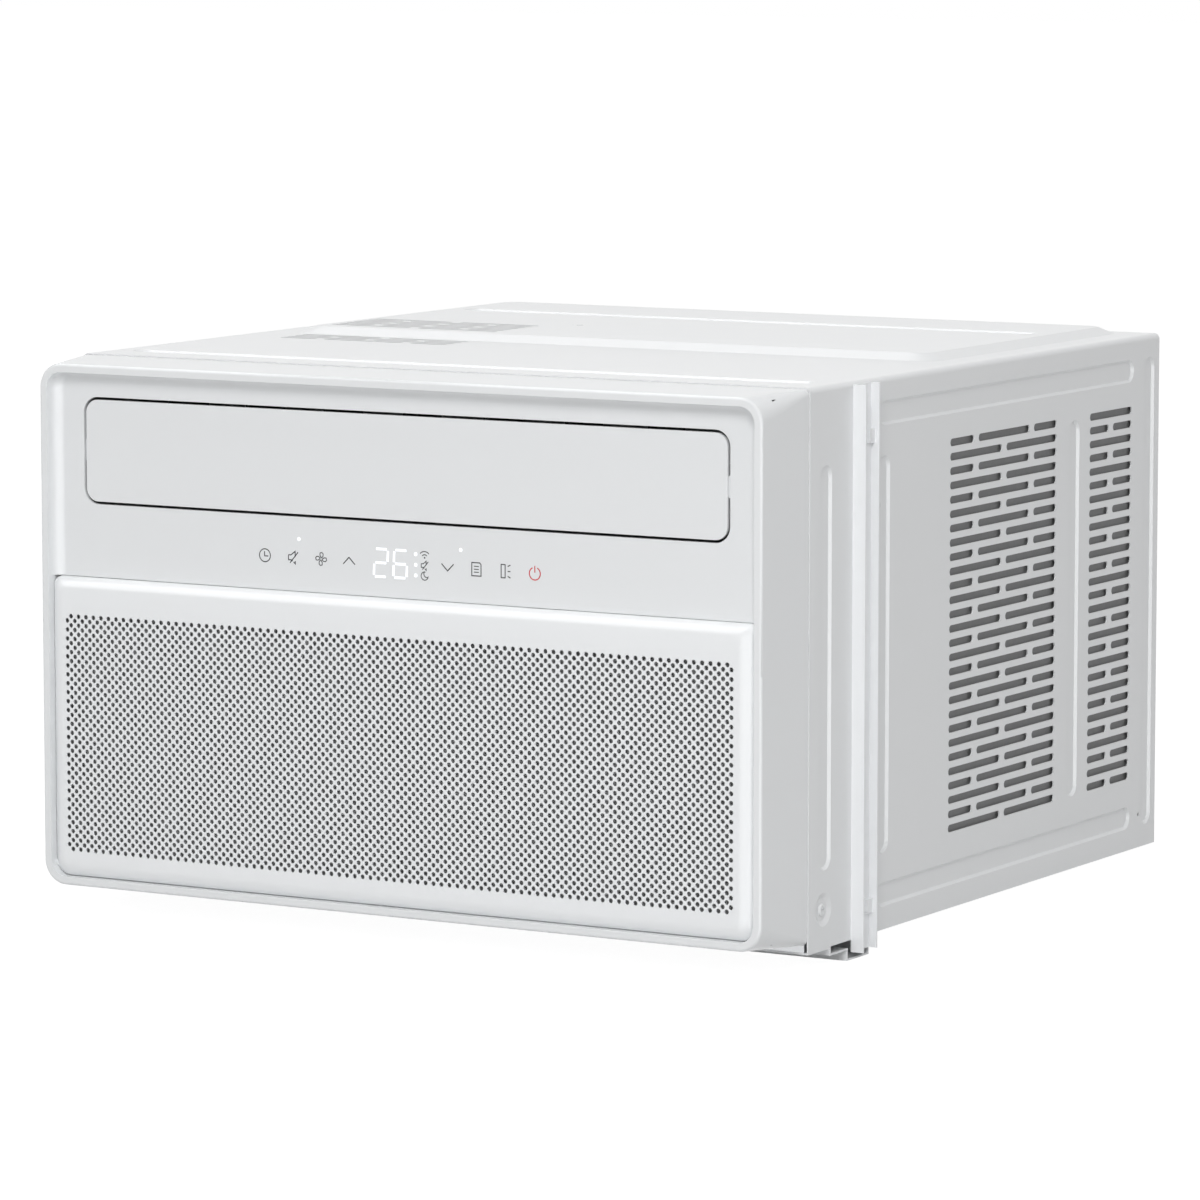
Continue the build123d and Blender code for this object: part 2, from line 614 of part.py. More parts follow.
def make_front_panel():
    seam_half = half_width - SEAM_STEP
    seam_top = CASE_HEIGHT - SEAM_STEP
    seam_outline = rounded(-seam_half, seam_half, SEAM_BOTTOM, seam_top, TOP_BEND)
    rim_outline = rounded(-rim_half, rim_half, RIM_BOTTOM, rim_top, RIM_CORNER)
    seam_plane = Plane.XZ.offset(FIT_GAP)
    panel = loft([seam_plane * seam_outline, Plane.XZ.offset(PANEL_DEPTH) * rim_outline], ruled=True)
    panel = fillet(panel.edges().group_by(Axis.Y)[0], RIM_ROUND)

    upper = slab(top_rounded(-recess_half, recess_half, strip_low, recess_top, RECESS_CORNER), rim_y, strip_y)
    foot_edges = upper.edges().group_by(Axis.Y)[-1].sort_by(Axis.Z)[1:]
    panel -= fillet(foot_edges, RECESS_FOOT_ROUND)
    panel -= slab(bottom_rounded(-recess_half, recess_half, recess_low, strip_low, RECESS_CORNER), rim_y, intake_y)

    hollow_half = rim_half - PANEL_WALL
    hollow_low = RIM_BOTTOM + PANEL_WALL
    hollow_top = rim_top - PANEL_WALL
    panel -= block(-hollow_half, hollow_half, intake_back, 0, hollow_low, hollow_top)
    pocket_top = recess_top - PANEL_WALL
    panel -= block(-pocket_half, pocket_half, strip_back, intake_back, strip_low + PANEL_WALL, pocket_top)

    outlet = rounded(-flap_half - FLAP_GAP, flap_half + FLAP_GAP, flap_low - FLAP_GAP, flap_top + FLAP_GAP,
                     FLAP_CORNER + FLAP_GAP)
    panel -= slab(outlet, strip_y, strip_back)
    intake = rectangle(-grille_half + INTAKE_MARGIN, grille_half - INTAKE_MARGIN,
                       grille_low + INTAKE_MARGIN, grille_top - INTAKE_MARGIN)
    panel -= slab(intake, intake_y, intake_back)

    pin_reach = grille_half + GRILLE_PIN_LENGTH + RUNNING_GAP
    panel -= rod_x(GRILLE_PIN_RADIUS + RUNNING_GAP, -pin_reach, pin_reach, hinge_y, hinge_z)
    ear_outer = inner_half - PAN_SHEET - FIT_GAP
    for side in (-1, 1):
        outer = side * (hollow_half + EAR_THICKNESS / 2)
        inner = side * (ear_outer - EAR_THICKNESS)
        root = block(min(outer, inner), max(outer, inner), -EAR_LENGTH / 2, -FIT_GAP,
                     ear_low, ear_high)
        tongue_outer = side * ear_outer
        tongue = block(min(tongue_outer, inner), max(tongue_outer, inner), -EAR_LENGTH / 2, EAR_LENGTH,
                       ear_low, ear_high)
        panel += [root, tongue]
        panel -= rod_x(SCREW_RADIUS + RUNNING_GAP, min(tongue_outer, inner), max(tongue_outer, inner),
                       DIMPLE_Y, DIMPLE_Z)
    panel -= rod_x(GLAND_RADIUS + RUNNING_GAP, -half_width, -hollow_half, GLAND_Y, gland_z)
    return panel


def make_grille():
    """Panel with rounded front edges, hollow behind, with a staggered field of air holes."""
    outer = slab(rounded(-grille_half, grille_half, grille_low, grille_top, GRILLE_CORNER), grille_y, strip_y)
    outer = fillet(outer.edges().group_by(Axis.Y)[0], GRILLE_EDGE_ROUND)
    wall = GRILLE_WALL
    hollow = slab(rounded(wall - grille_half, grille_half - wall, grille_low + wall, grille_top - wall,
                          GRILLE_CORNER - wall), grille_y + wall, strip_y)
    hollow = fillet(hollow.edges().group_by(Axis.Y)[0], GRILLE_EDGE_ROUND - wall)
    grille = outer - hollow

    field_half = grille_half - AIR_FIELD_SIDE_MARGIN - AIR_HOLE_RADIUS
    field_low = grille_low + AIR_FIELD_LOW_MARGIN + AIR_HOLE_RADIUS
    field_top = grille_top - AIR_FIELD_TOP_MARGIN - AIR_HOLE_RADIUS
    row_pitch = AIR_HOLE_PITCH * 0.62
    rows = int((field_top - field_low) / row_pitch) + 1
    columns = int(2 * field_half / AIR_HOLE_PITCH)
    holes = []
    for row in range(rows):
        z = field_low + row_pitch * row
        count = columns + 1 - row % 2
        first = -AIR_HOLE_PITCH * (count - 1) / 2
        for column in range(count):
            x = first + AIR_HOLE_PITCH * column
            holes.append(rod_y(AIR_HOLE_RADIUS, x, grille_y, grille_y + wall, z))
    grille -= holes
    for side in (-1, 1):
        ends = sorted((side * (grille_half - wall), side * (grille_half + GRILLE_PIN_LENGTH)))
        grille += rod_x(GRILLE_PIN_RADIUS, ends[0], ends[1], hinge_y, hinge_z)
    return grille


def make_filter():
    """Filter frame and its mesh, held inside the back of the grille."""
    outer_half = grille_half - GRILLE_WALL - FIT_GAP
    low = hinge_z + GRILLE_PIN_RADIUS + FIT_GAP
    high = grille_top - GRILLE_WALL - FIT_GAP
    front = strip_y - FILTER_FRAME_DEPTH + FIT_GAP
    back = front + FILTER_FRAME_DEPTH
    window = rectangle(FILTER_FRAME_WIDTH - outer_half, outer_half - FILTER_FRAME_WIDTH,
                       low + FILTER_FRAME_WIDTH, high - FILTER_FRAME_WIDTH)
    outline = rounded(-outer_half, outer_half, low, high, GRILLE_CORNER - GRILLE_WALL)
    frame = slab(outline - window, front, back)
    middle = (front + back) / 2
    for share in (-0.5, 0, 0.5):
        x = share * outer_half
        frame += block(x - FILTER_MESH, x + FILTER_MESH, front, middle, low, high)
    mesh = slab(window, middle, middle + FILTER_MESH)
    return frame, mesh


def make_flap():
    """Outlet blade with an arm at each end that carries the pivot pins behind it."""
    outline = rounded(-flap_half, flap_half, flap_low, flap_top, FLAP_CORNER)
    flap = slab(outline, strip_y, strip_y + FLAP_THICKNESS)
    rib_y = strip_y + FLAP_THICKNESS
    rib_half = flap_half - FLAP_CORNER
    flap += block(-rib_half, rib_half, rib_y, rib_y + FLAP_THICKNESS, flap_axis_z - 2, flap_axis_z + 2)
    arm_outer = flap_half + FLAP_GAP - DUCT_STEP / 2
    for side in (-1, 1):
        ends = sorted((side * arm_outer, side * (arm_outer - FLAP_ARM_WIDTH)))
        half = FLAP_ARM_HEIGHT / 2
        flap += block(ends[0], ends[1], rib_y - 1, flap_axis_y, flap_axis_z - half, flap_axis_z + half)
        flap += rod_x(half, ends[0], ends[1], flap_axis_y, flap_axis_z)
        flap -= rod_x(FLAP_PIN_RADIUS + RUNNING_GAP, ends[0], ends[1], flap_axis_y, flap_axis_z)
    return flap


def make_flap_pins():
    """Pivot pins: one runs in the right duct wall, one goes through the left wall into the motor."""
    inner = flap_half + FLAP_GAP - DUCT_STEP / 2 - FLAP_ARM_WIDTH
    right = rod_x(FLAP_PIN_RADIUS, inner, duct_half + DUCT_WALL, flap_axis_y, flap_axis_z)
    motor_reach = duct_half + DUCT_WALL + FLAP_PIN_GRIP
    left = rod_x(FLAP_PIN_RADIUS, -motor_reach, -inner, flap_axis_y, flap_axis_z)
    return Compound(children=[right, left])


def make_flap_motor():
    near = -duct_half - DUCT_WALL
    far = FIT_GAP - pocket_half
    motor = rod_x(FLAP_MOTOR_RADIUS, far, near, flap_axis_y, flap_axis_z)
    ear = FLAP_MOTOR_RADIUS + FLAP_MOTOR_EAR
    ear_half = FLAP_MOTOR_EAR - 1
    motor += block(near - 1, near, flap_axis_y - ear_half, flap_axis_y + ear_half,
                   flap_axis_z - ear, flap_axis_z + ear)
    bore = near - FLAP_PIN_GRIP - RUNNING_GAP
    return motor - rod_x(FLAP_PIN_RADIUS + RUNNING_GAP, bore, near, flap_axis_y, flap_axis_z)


# Outlet duct and vanes

def scroll_outline(extra):
    """Outline of the scroll in X and Z: three arcs round the wheel, then two straight walls up."""
    def point(angle, spread):
        reach = WHEEL_RADIUS + SCROLL_TONGUE_GAP + SCROLL_GROWTH * spread + extra
        return (FAN_AXIS_X + reach * cos(radians(angle)), fan_axis_z + reach * sin(radians(angle)))
    start = SCROLL_TONGUE_ANGLE
    total = start + 180
    stops = [start, start / 2, 0, -45, -90, -135, -180]
    tongue, a, right, b, bottom, c, left = [point(stop, (start - stop) / total) for stop in stops]
    top_left = (left[0], duct_bottom)
    top_right = (tongue[0], duct_bottom)
    lines = [ThreePointArc(tongue, a, right), ThreePointArc(right, b, bottom), ThreePointArc(bottom, c, left),
             Line(left, top_left), Line(top_left, top_right), Line(top_right, tongue)]
    return make_face(lines)


def make_scroll():
    walls = slab(scroll_outline(SCROLL_WALL) - scroll_outline(0), orifice_y, bulkhead_y)
    plate = rectangle(evap_left, evap_right, pan_floor, duct_bottom)
    mouth = Pos(FAN_AXIS_X, fan_axis_z) * Circle(INLET_RADIUS)
    return walls + slab(plate - mouth, orifice_y, orifice_y + SCROLL_WALL)


def make_duct():
    """Box over the scroll: open to the front, closed behind by the bulkhead, with the scroll's throat below."""
    outside = rectangle(-duct_half - DUCT_WALL, duct_half + DUCT_WALL, duct_bottom, duct_top + DUCT_WALL)
    inside = rectangle(-duct_half, duct_half, duct_low, duct_top)
    duct = slab(outside - inside, duct_front, bulkhead_y)
    throat = scroll_outline(0).bounding_box()
    tongue_x = FAN_AXIS_X + (WHEEL_RADIUS + SCROLL_TONGUE_GAP) * cos(radians(SCROLL_TONGUE_ANGLE))
    duct -= block(throat.min.X, tongue_x, orifice_y + SCROLL_WALL, bulkhead_y, duct_bottom, duct_low)
    bore = FLAP_PIN_RADIUS + RUNNING_GAP
    duct -= rod_x(bore, -duct_half - DUCT_WALL, duct_half + DUCT_WALL, flap_axis_y, flap_axis_z)
    pin = VANE_PIN_RADIUS + RUNNING_GAP
    duct -= [rod_z(pin, x, vane_axis_y, duct_bottom, duct_top + DUCT_WALL) for x in vane_places]
    return duct


def make_vane(x):
    """Upright blade with a pivot pin at each end and a crank pin across a notch in its rear edge."""
    low, high = duct_low + VANE_END_GAP, duct_top - VANE_END_GAP
    front = vane_axis_y - VANE_LEAD
    rear = front + VANE_CHORD
    half = VANE_THICKNESS / 2
    vane = block(x - half, x + half, front, rear, low, high)
    vane += rod_z(VANE_PIN_RADIUS, x, vane_axis_y, duct_bottom + 1, duct_top + DUCT_WALL - 1)
    notch = CRANK_NOTCH_HEIGHT / 2
    notch_front = crank_y - TIE_BAR_WIDTH
    vane -= block(x - half, x + half, notch_front, rear, flap_axis_z - notch, flap_axis_z + notch)
    return vane + rod_z(CRANK_PIN_RADIUS, x, crank_y, flap_axis_z - notch - 1, flap_axis_z + notch + 1)


def make_tie_bar():
    half = TIE_BAR_HEIGHT / 2
    reach = TIE_BAR_WIDTH
    bar = block(vane_places[0] - reach, vane_places[-1] + reach, crank_y - TIE_BAR_WIDTH / 2,
                crank_y + TIE_BAR_WIDTH / 2, flap_axis_z - half, flap_axis_z + half)
    hole = CRANK_PIN_RADIUS + RUNNING_GAP
    return bar - [rod_z(hole, x, crank_y, flap_axis_z - half, flap_axis_z + half) for x in vane_places]


def make_display():
    """Light block behind the control strip and the board that carries it."""
    z = CASE_HEIGHT - STRIP_CENTRE_MARGIN
    board_half = min(DISPLAY_HEIGHT / 2 + 5, duct_bottom - FIT_GAP - z)
    front = strip_back
    back = front + DISPLAY_THICKNESS
    module = block(-DISPLAY_WIDTH / 2, DISPLAY_WIDTH / 2, front, back,
                   z - DISPLAY_HEIGHT / 2, z + DISPLAY_HEIGHT / 2)
    board = block(-BOARD_WIDTH / 2, BOARD_WIDTH / 2, back, back + BOARD_THICKNESS, z - board_half, z + board_half)
    return module, board


# Coils

def coil_tube(left, right, y, rows):
    """One tube that runs to and fro through the coil and ends in two stubs on the right."""
    points = [(right + TUBE_STUB, y, rows[0])]
    for row in range(len(rows) - 1):
        end = left - bend_reach if row % 2 == 0 else right + bend_reach
        points += [(end, y, rows[row]), (end, y, rows[row + 1])]
    points.append((right + TUBE_STUB, y, rows[-1]))
    return tube(points, TUBE_RADIUS, TUBE_PITCH * 0.49)


def coil_fins(left, right, front, back, low, top, y, rows):
    fins = block(left, right, front, back, low, top)
    return fins - [rod_x(TUBE_RADIUS + RUNNING_GAP, left, right, y, z) for z in rows]


def make_condenser_fins():
    """Fin pack with upright grooves in the face that shows at the open rear of the case."""
    fins = coil_fins(*cond_box)
    count = int((cond_right - cond_left) / FIN_GROOVE_PITCH)
    first = (cond_left + cond_right - FIN_GROOVE_PITCH * (count - 1)) / 2
    half = FIN_GROOVE_WIDTH / 2
    grooves = []
    for index in range(count):
        x = first + FIN_GROOVE_PITCH * index
        grooves.append(block(x - half, x + half, cond_back - FIN_GROOVE_DEPTH, cond_back, COND_LOW, cond_top))
    return fins - grooves


def coil_plates(left, right, front, back, low, top, y, rows):
    plates = []
    for x0, x1 in ((left - COIL_PLATE, left), (right, right + COIL_PLATE)):
        plate = block(x0, x1, front, back, low, top)
        plates.append(plate - [rod_x(TUBE_RADIUS + RUNNING_GAP, x0, x1, y, z) for z in rows])
    return Compound(children=plates)


def make_drip_tray():
    tray = block(evap_left - COIL_PLATE, evap_right + COIL_PLATE, EVAP_FRONT, evap_back, pan_floor, evap_low)
    channel = EVAP_DEPTH / 4
    return tray - block(evap_left, evap_right, EVAP_FRONT + channel, evap_back - channel,
                        evap_low - channel, evap_low)


# Fans and motor

def make_blower():
    """Drum of forward blades on a back plate, held on the shaft by its hub."""
    middle = Location((FAN_AXIS_X, wheel_back, fan_axis_z), (90, 0, 0))
    wheel = Pos(0, 0, WHEEL_PLATE / 2) * Cylinder(WHEEL_RADIUS, WHEEL_PLATE)
    ring_in = WHEEL_RADIUS - WHEEL_BLADE_CHORD * 0.7
    ring = Cylinder(WHEEL_RADIUS, WHEEL_PLATE) - Cylinder(ring_in, WHEEL_PLATE)
    wheel += Pos(0, 0, WHEEL_WIDTH - WHEEL_PLATE / 2) * ring
    wheel += Pos(0, 0, WHEEL_WIDTH / 4) * Cylinder(WHEEL_HUB_RADIUS, WHEEL_WIDTH / 2)
    blade_radius = WHEEL_RADIUS - WHEEL_BLADE_CHORD / 2
    blade = Box(WHEEL_BLADE_CHORD * 0.9, WHEEL_BLADE_THICKNESS, WHEEL_WIDTH - WHEEL_PLATE)
    seat = Pos(blade_radius, 0, WHEEL_WIDTH / 2) * Rot(0, 0, 25)
    wheel += [Rot(0, 0, 360 * index / WHEEL_BLADES) * seat * blade for index in range(WHEEL_BLADES)]
    wheel -= Pos(0, 0, WHEEL_WIDTH / 2) * Cylinder(SHAFT_RADIUS + RUNNING_GAP, WHEEL_WIDTH)
    return middle * wheel


def make_axial_fan():
    """Hub, pitched blades and the slinger ring that lifts water from the pan."""
    middle = Location((FAN_AXIS_X, fan_back, fan_axis_z), (90, 0, 0))
    fan = Pos(0, 0, FAN_WIDTH / 2) * Cylinder(FAN_HUB_RADIUS, FAN_WIDTH)
    ring_in = FAN_RADIUS - SLINGER_WALL
    ring_width = FAN_WIDTH * 0.35
    ring = Cylinder(FAN_RADIUS, ring_width) - Cylinder(ring_in, ring_width)
    fan += Pos(0, 0, FAN_WIDTH / 2) * ring
    span = ring_in - FAN_HUB_RADIUS + SLINGER_WALL
    chord = FAN_WIDTH * 0.8 / sin(radians(90 - FAN_BLADE_PITCH))
    blade = Box(span, FAN_BLADE_THICKNESS, chord)
    seat = Pos(FAN_HUB_RADIUS + span / 2 - SLINGER_WALL / 2, 0, FAN_WIDTH / 2) * Rot(FAN_BLADE_PITCH, 0, 0)
    drum = Pos(0, 0, FAN_WIDTH / 2) * Cylinder(ring_in + SLINGER_WALL / 2, FAN_WIDTH)
    blades = [Rot(0, 0, 360 * index / FAN_BLADES) * seat * blade & drum for index in range(FAN_BLADES)]
    fan += blades
    fan -= Pos(0, 0, FAN_WIDTH / 2) * Cylinder(SHAFT_RADIUS + RUNNING_GAP, FAN_WIDTH)
    return middle * fan


def make_shaft():
    return rod_y(SHAFT_RADIUS, FAN_AXIS_X, wheel_front, fan_back + SHAFT_END, fan_axis_z)


def make_shaft_nuts():
    """Nuts that hold the wheel and the fan on the shaft."""
    hub_front = wheel_back - WHEEL_WIDTH / 2
    nuts = []
    for y0 in (hub_front - NUT_LENGTH, fan_back):
        nut = slab(RegularPolygon(NUT_RADIUS, 6), y0, y0 + NUT_LENGTH)
        nut = Pos(FAN_AXIS_X, 0, fan_axis_z) * nut
        nuts.append(nut - rod_y(SHAFT_RADIUS + RUNNING_GAP, FAN_AXIS_X, y0, y0 + NUT_LENGTH, fan_axis_z))
    return Compound(children=nuts)


def make_motor():
    motor = rod_y(MOTOR_RADIUS, FAN_AXIS_X, motor_front, motor_back, fan_axis_z)
    motor = fillet(motor.edges().group_by(Axis.Y)[-1], MOTOR_RADIUS / 6)
    return motor - rod_y(SHAFT_RADIUS + RUNNING_GAP, FAN_AXIS_X, motor_front, motor_back, fan_axis_z)


def make_bracket():
    plate_front = motor_front - BRACKET_PLATE
    reach = BRACKET_REACH
    corner = BRACKET_REACH + BRACKET_LEG_RADIUS
    plate = rounded(FAN_AXIS_X - corner, FAN_AXIS_X + corner, fan_axis_z - corner, fan_axis_z + corner,
                    BRACKET_LEG_RADIUS)
    plate -= Pos(FAN_AXIS_X, fan_axis_z) * Circle(2 * SHAFT_RADIUS)
    bracket = slab(plate, plate_front, motor_front)
    for dx in (-reach, reach):
        for dz in (-reach, reach):
            bracket += rod_y(BRACKET_LEG_RADIUS, FAN_AXIS_X + dx, bulkhead_back, plate_front, fan_axis_z + dz)
    return bracket


def make_bulkhead():
    """Sheet between the room side and the outdoor side, with holes for the shaft and the lines."""
    half = inner_half - PAN_SHEET - FIT_GAP
    wall = rectangle(-half, half, pan_floor, inner_top)
    wall -= Pos(FAN_AXIS_X, fan_axis_z) * Circle(2 * SHAFT_RADIUS)
    wall -= Pos(suction_x, suction_z) * Circle(LINE_RADIUS + SHEET)
    wall -= Pos(line_x, evap_rows[0]) * Circle(CAPILLARY_RADIUS + SHEET)
    return slab(wall, bulkhead_y, bulkhead_back)


def make_shroud():
    left, right = cond_left - COIL_PLATE, cond_right + COIL_PLATE
    mouth = Pos(FAN_AXIS_X, fan_axis_z) * Circle(FAN_RADIUS + SHROUD_GAP)
    plate = rectangle(left, right, pan_floor, cond_top) - mouth
    rim = Pos(FAN_AXIS_X, fan_axis_z) * Circle(FAN_RADIUS + SHROUD_GAP + SHROUD_SHEET) - mouth
    keep = rectangle(left, right, pan_floor, cond_top)
    shroud = slab(plate, shroud_front, shroud_back)
    shroud += slab(rim & keep, shroud_back - SHROUD_RING, shroud_back)
    top_lip = block(left, right, shroud_back, cond_front, cond_top - SHROUD_SHEET, cond_top)
    return shroud + top_lip


# Compressor and lines

def grommet_places():
    angles = (30, 150, 270)
    return [(compressor_x + GROMMET_CIRCLE * cos(radians(angle)),
             compressor_y + GROMMET_CIRCLE * sin(radians(angle))) for angle in angles]


def make_compressor():
    shell_low = compressor_low + COMPRESSOR_FOOT
    shell = rod_z(COMPRESSOR_RADIUS, compressor_x, compressor_y, shell_low, compressor_top)
    shell = fillet(shell.edges().group_by(Axis.Z)[-1], COMPRESSOR_DOME)
    foot = rod_z(COMPRESSOR_FOOT_RADIUS, compressor_x, compressor_y, compressor_low, shell_low)
    bores = [rod_z(STUD_RADIUS + RUNNING_GAP, x, y, compressor_low, shell_low + FIT_GAP)
             for x, y in grommet_places()]
    return shell + foot - bores


def make_grommets():
    rings = []
    for x, y in grommet_places():
        ring = rod_z(GROMMET_RADIUS, x, y, pan_floor + RUNNING_GAP, compressor_low - RUNNING_GAP)
        rings.append(ring - rod_z(STUD_RADIUS + RUNNING_GAP, x, y, pan_floor, compressor_low))
    return Compound(children=rings)


def make_studs():
    top = compressor_low + COMPRESSOR_FOOT
    return Compound(children=[rod_z(STUD_RADIUS, x, y, pan_floor + RUNNING_GAP, top)
                              for x, y in grommet_places()])


def make_accumulator():
    can = rod_z(ACCUMULATOR_RADIUS, accumulator_x, compressor_y, ACCUMULATOR_LOW, ACCUMULATOR_LOW + ACCUMULATOR_HEIGHT)
    rims = can.edges().group_by(Axis.Z)
    return fillet(rims[0] + rims[-1], ACCUMULATOR_RADIUS / 3)


def make_suction_line():
    """From the accumulator over the compressor to the room side and down to the evaporator's upper stub."""
    start = ACCUMULATOR_LOW + ACCUMULATOR_HEIGHT
    stub_x = evap_right + TUBE_STUB
    points = [(accumulator_x, compressor_y, start), (accumulator_x, compressor_y, suction_z),
              (suction_x, compressor_y, suction_z), (suction_x, evap_tube_y, suction_z),
              (suction_x, evap_tube_y, evap_rows[-1]), (stub_x, evap_tube_y, evap_rows[-1])]
    bends = min(LINE_BEND, (suction_x - stub_x) * 0.8)
    return tube(points, LINE_RADIUS, bends)


def make_discharge_line():
    """From the top of the compressor along the right side to the condenser's upper stub."""
    start_x, start_y = compressor_x + COMPRESSOR_RADIUS / 3, compressor_y + COMPRESSOR_RADIUS / 3
    z = cond_rows[-1]
    stub_x = cond_right + TUBE_STUB
    points = [(start_x, start_y, compressor_top), (start_x, start_y, z), (line_x, start_y, z),
              (line_x, cond_tube_y, z), (stub_x, cond_tube_y, z)]
    return tube(points, LINE_RADIUS, LINE_BEND)


def make_capillary():
    """Thin tube from the condenser's lower stub along the right side to the evaporator's lower stub."""
    z0, z1 = cond_rows[0], evap_rows[0]
    jog_y = (cond_front + compressor_y) / 2
    points = [(cond_right + TUBE_STUB, cond_tube_y, z0), (line_x, cond_tube_y, z0), (line_x, jog_y, z0),
              (line_x, jog_y, z1), (line_x, evap_tube_y, z1), (evap_right + TUBE_STUB, evap_tube_y, z1)]
    return tube(points, CAPILLARY_RADIUS, min(LINE_BEND, (z1 - z0) * 0.45))


# Control box

box_left = suction_x + LINE_RADIUS + BOX_GAP
box_right = half_width - BOX_SIDE_MARGIN
box_top = duct_bottom - BOX_TOP_GAP
box_front = EVAP_FRONT
box_back = bulkhead_y


def make_control_box():
    """Open steel box on the bulkhead, and the cover on its front."""
    box = block(box_left, box_right, box_front, box_back, BOX_LOW, box_top)
    box -= block(box_left + BOX_SHEET, box_right - BOX_SHEET, box_front, box_back - BOX_SHEET,
                 BOX_LOW + BOX_SHEET, box_top - BOX_SHEET)
    cover = block(box_left, box_right, box_front - BOX_SHEET, box_front, BOX_LOW, box_top)
    return box, cover


def make_main_board():
    x = box_right - BOX_SHEET
    inset = BOX_SHEET + BOX_GAP
    return block(x - BOARD_THICKNESS, x, box_front + inset, box_back - inset, BOX_LOW + inset, box_top - inset)


def make_capacitor():
    x = box_left + BOX_SHEET + FIT_GAP + CAPACITOR_RADIUS
    y = box_back - BOX_SHEET - FIT_GAP - CAPACITOR_RADIUS
    low = BOX_LOW + BOX_SHEET
    return rod_z(CAPACITOR_RADIUS, x, y, low, low + CAPACITOR_HEIGHT)


# Small pieces

drain_x = FAN_AXIS_X + FAN_RADIUS / 2
drain_y = (motor_back + fan_front) / 2


def make_drain_plug():
    plug = rod_z(DRAIN_RADIUS - RUNNING_GAP, drain_x, drain_y, 0, pan_floor + RUNNING_GAP)
    cap_low = pan_floor + RUNNING_GAP
    return plug + rod_z(DRAIN_RADIUS + GLAND_FLANGE, drain_x, drain_y, cap_low, cap_low + PAN_SHEET)


def make_case_screws():
    """Screw in the dimple of each side, through case and pan into the ear of the front panel."""
    head_in = half_width - GROOVE_DEPTH + RUNNING_GAP
    head_out = head_in + SCREW_HEAD
    tip = head_in - SHEET - SCREW_LENGTH
    right = rod_x(SCREW_HEAD_RADIUS, head_in, head_out, DIMPLE_Y, DIMPLE_Z)
    right += rod_x(SCREW_RADIUS, tip, head_in, DIMPLE_Y, DIMPLE_Z)
    right -= rod_x(SCREW_SOCKET_RADIUS, head_out - SCREW_HEAD / 2, head_out, DIMPLE_Y, DIMPLE_Z)
    return Compound(children=[right, mirrored(right)])


def make_gland():
    """Rubber bush in the left wall of the front panel, where the supply lead comes out."""
    wall_in = half_width - RIM_SIDE_STEP - PANEL_WALL
    gland = rod_x(GLAND_RADIUS, -half_width, -wall_in, GLAND_Y, gland_z)
    gland += rod_x(GLAND_RADIUS + GLAND_FLANGE, -wall_in, GLAND_FLANGE - wall_in, GLAND_Y, gland_z)
    return gland - rod_x(GLAND_BORE, -half_width, GLAND_FLANGE - wall_in, GLAND_Y, gland_z)


# Assembly

right_rail = make_side_rail()
right_screen = make_side_screen()
filter_frame, filter_mesh = make_filter()
display_module, display_board = make_display()
control_box, control_cover = make_control_box()
evap_box = (evap_left, evap_right, EVAP_FRONT, evap_back, evap_low, evap_top, evap_tube_y, evap_rows)
cond_box = (cond_left, cond_right, cond_front, cond_back, COND_LOW, cond_top, cond_tube_y, cond_rows)
cond_plate_box = (cond_left, cond_right, cond_front, cond_back, pan_floor, cond_top, cond_tube_y, cond_rows)

pieces = {
    "case_wrapper": make_case(),
    "side_screen_right": right_screen,
    "side_screen_left": mirrored(right_screen),
    "base_pan": make_base_pan(),
    "side_rail_right": right_rail,
    "side_rail_left": mirrored(right_rail),
    "bottom_rail": make_bottom_rail(),
    "front_panel": make_front_panel(),
    "intake_grille": make_grille(),
    "filter_frame": filter_frame,
    "filter_mesh": filter_mesh,
    "outlet_flap": make_flap(),
    "flap_pins": make_flap_pins(),
    "flap_motor": make_flap_motor(),
    "outlet_duct": make_duct(),
    "vane_tie_bar": make_tie_bar(),
    "display_module": display_module,
    "display_board": display_board,
    "evaporator_fins": coil_fins(*evap_box),
    "evaporator_plates": coil_plates(*evap_box),
    "evaporator_tube": coil_tube(evap_left, evap_right, evap_tube_y, evap_rows),
    "drip_tray": make_drip_tray(),
    "scroll_housing": make_scroll(),
    "blower_wheel": make_blower(),
    "bulkhead": make_bulkhead(),
    "motor_bracket": make_bracket(),
    "fan_motor": make_motor(),
    "motor_shaft": make_shaft(),
    "shaft_nuts": make_shaft_nuts(),
    "axial_fan": make_axial_fan(),
    "fan_shroud": make_shroud(),
    "condenser_fins": make_condenser_fins(),
    "condenser_plates": coil_plates(*cond_plate_box),
    "condenser_tube": coil_tube(cond_left, cond_right, cond_tube_y, cond_rows),
    "compressor": make_compressor(),
    "compressor_grommets": make_grommets(),
    "compressor_studs": make_studs(),
    "accumulator": make_accumulator(),
    "suction_line": make_suction_line(),
    "discharge_line": make_discharge_line(),
    "capillary_tube": make_capillary(),
    "control_box": control_box,
    "control_cover": control_cover,
    "main_board": make_main_board(),
    "run_capacitor": make_capacitor(),
    "drain_plug": make_drain_plug(),
    "case_screws": make_case_screws(),
    "cord_gland": make_gland(),
}
for index, place in enumerate(vane_places):
    pieces[f"air_vane_{index + 1}"] = make_vane(place)

# The origin goes to the middle of the footprint, level with the floor of the bottom rail
origin_shift = Pos(0, (PANEL_DEPTH - CASE_DEPTH) / 2, -floor_z)

os.makedirs("parts", exist_ok=True)
for name, piece in pieces.items():
    export_step(origin_shift * piece, f"parts/{name}.step")
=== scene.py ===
# %% [markdown]
# # A window air conditioner, dressed for its portrait
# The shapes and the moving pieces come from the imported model. This lesson adds what a photograph
# of the real appliance shows on top of them: a finely perforated intake grille, printed control
# marks, lit figures, coil fins, a filter net, screw heads, and paints and plastics for every piece.

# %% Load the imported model
import json
from math import atan2, cos, pi, radians, sin

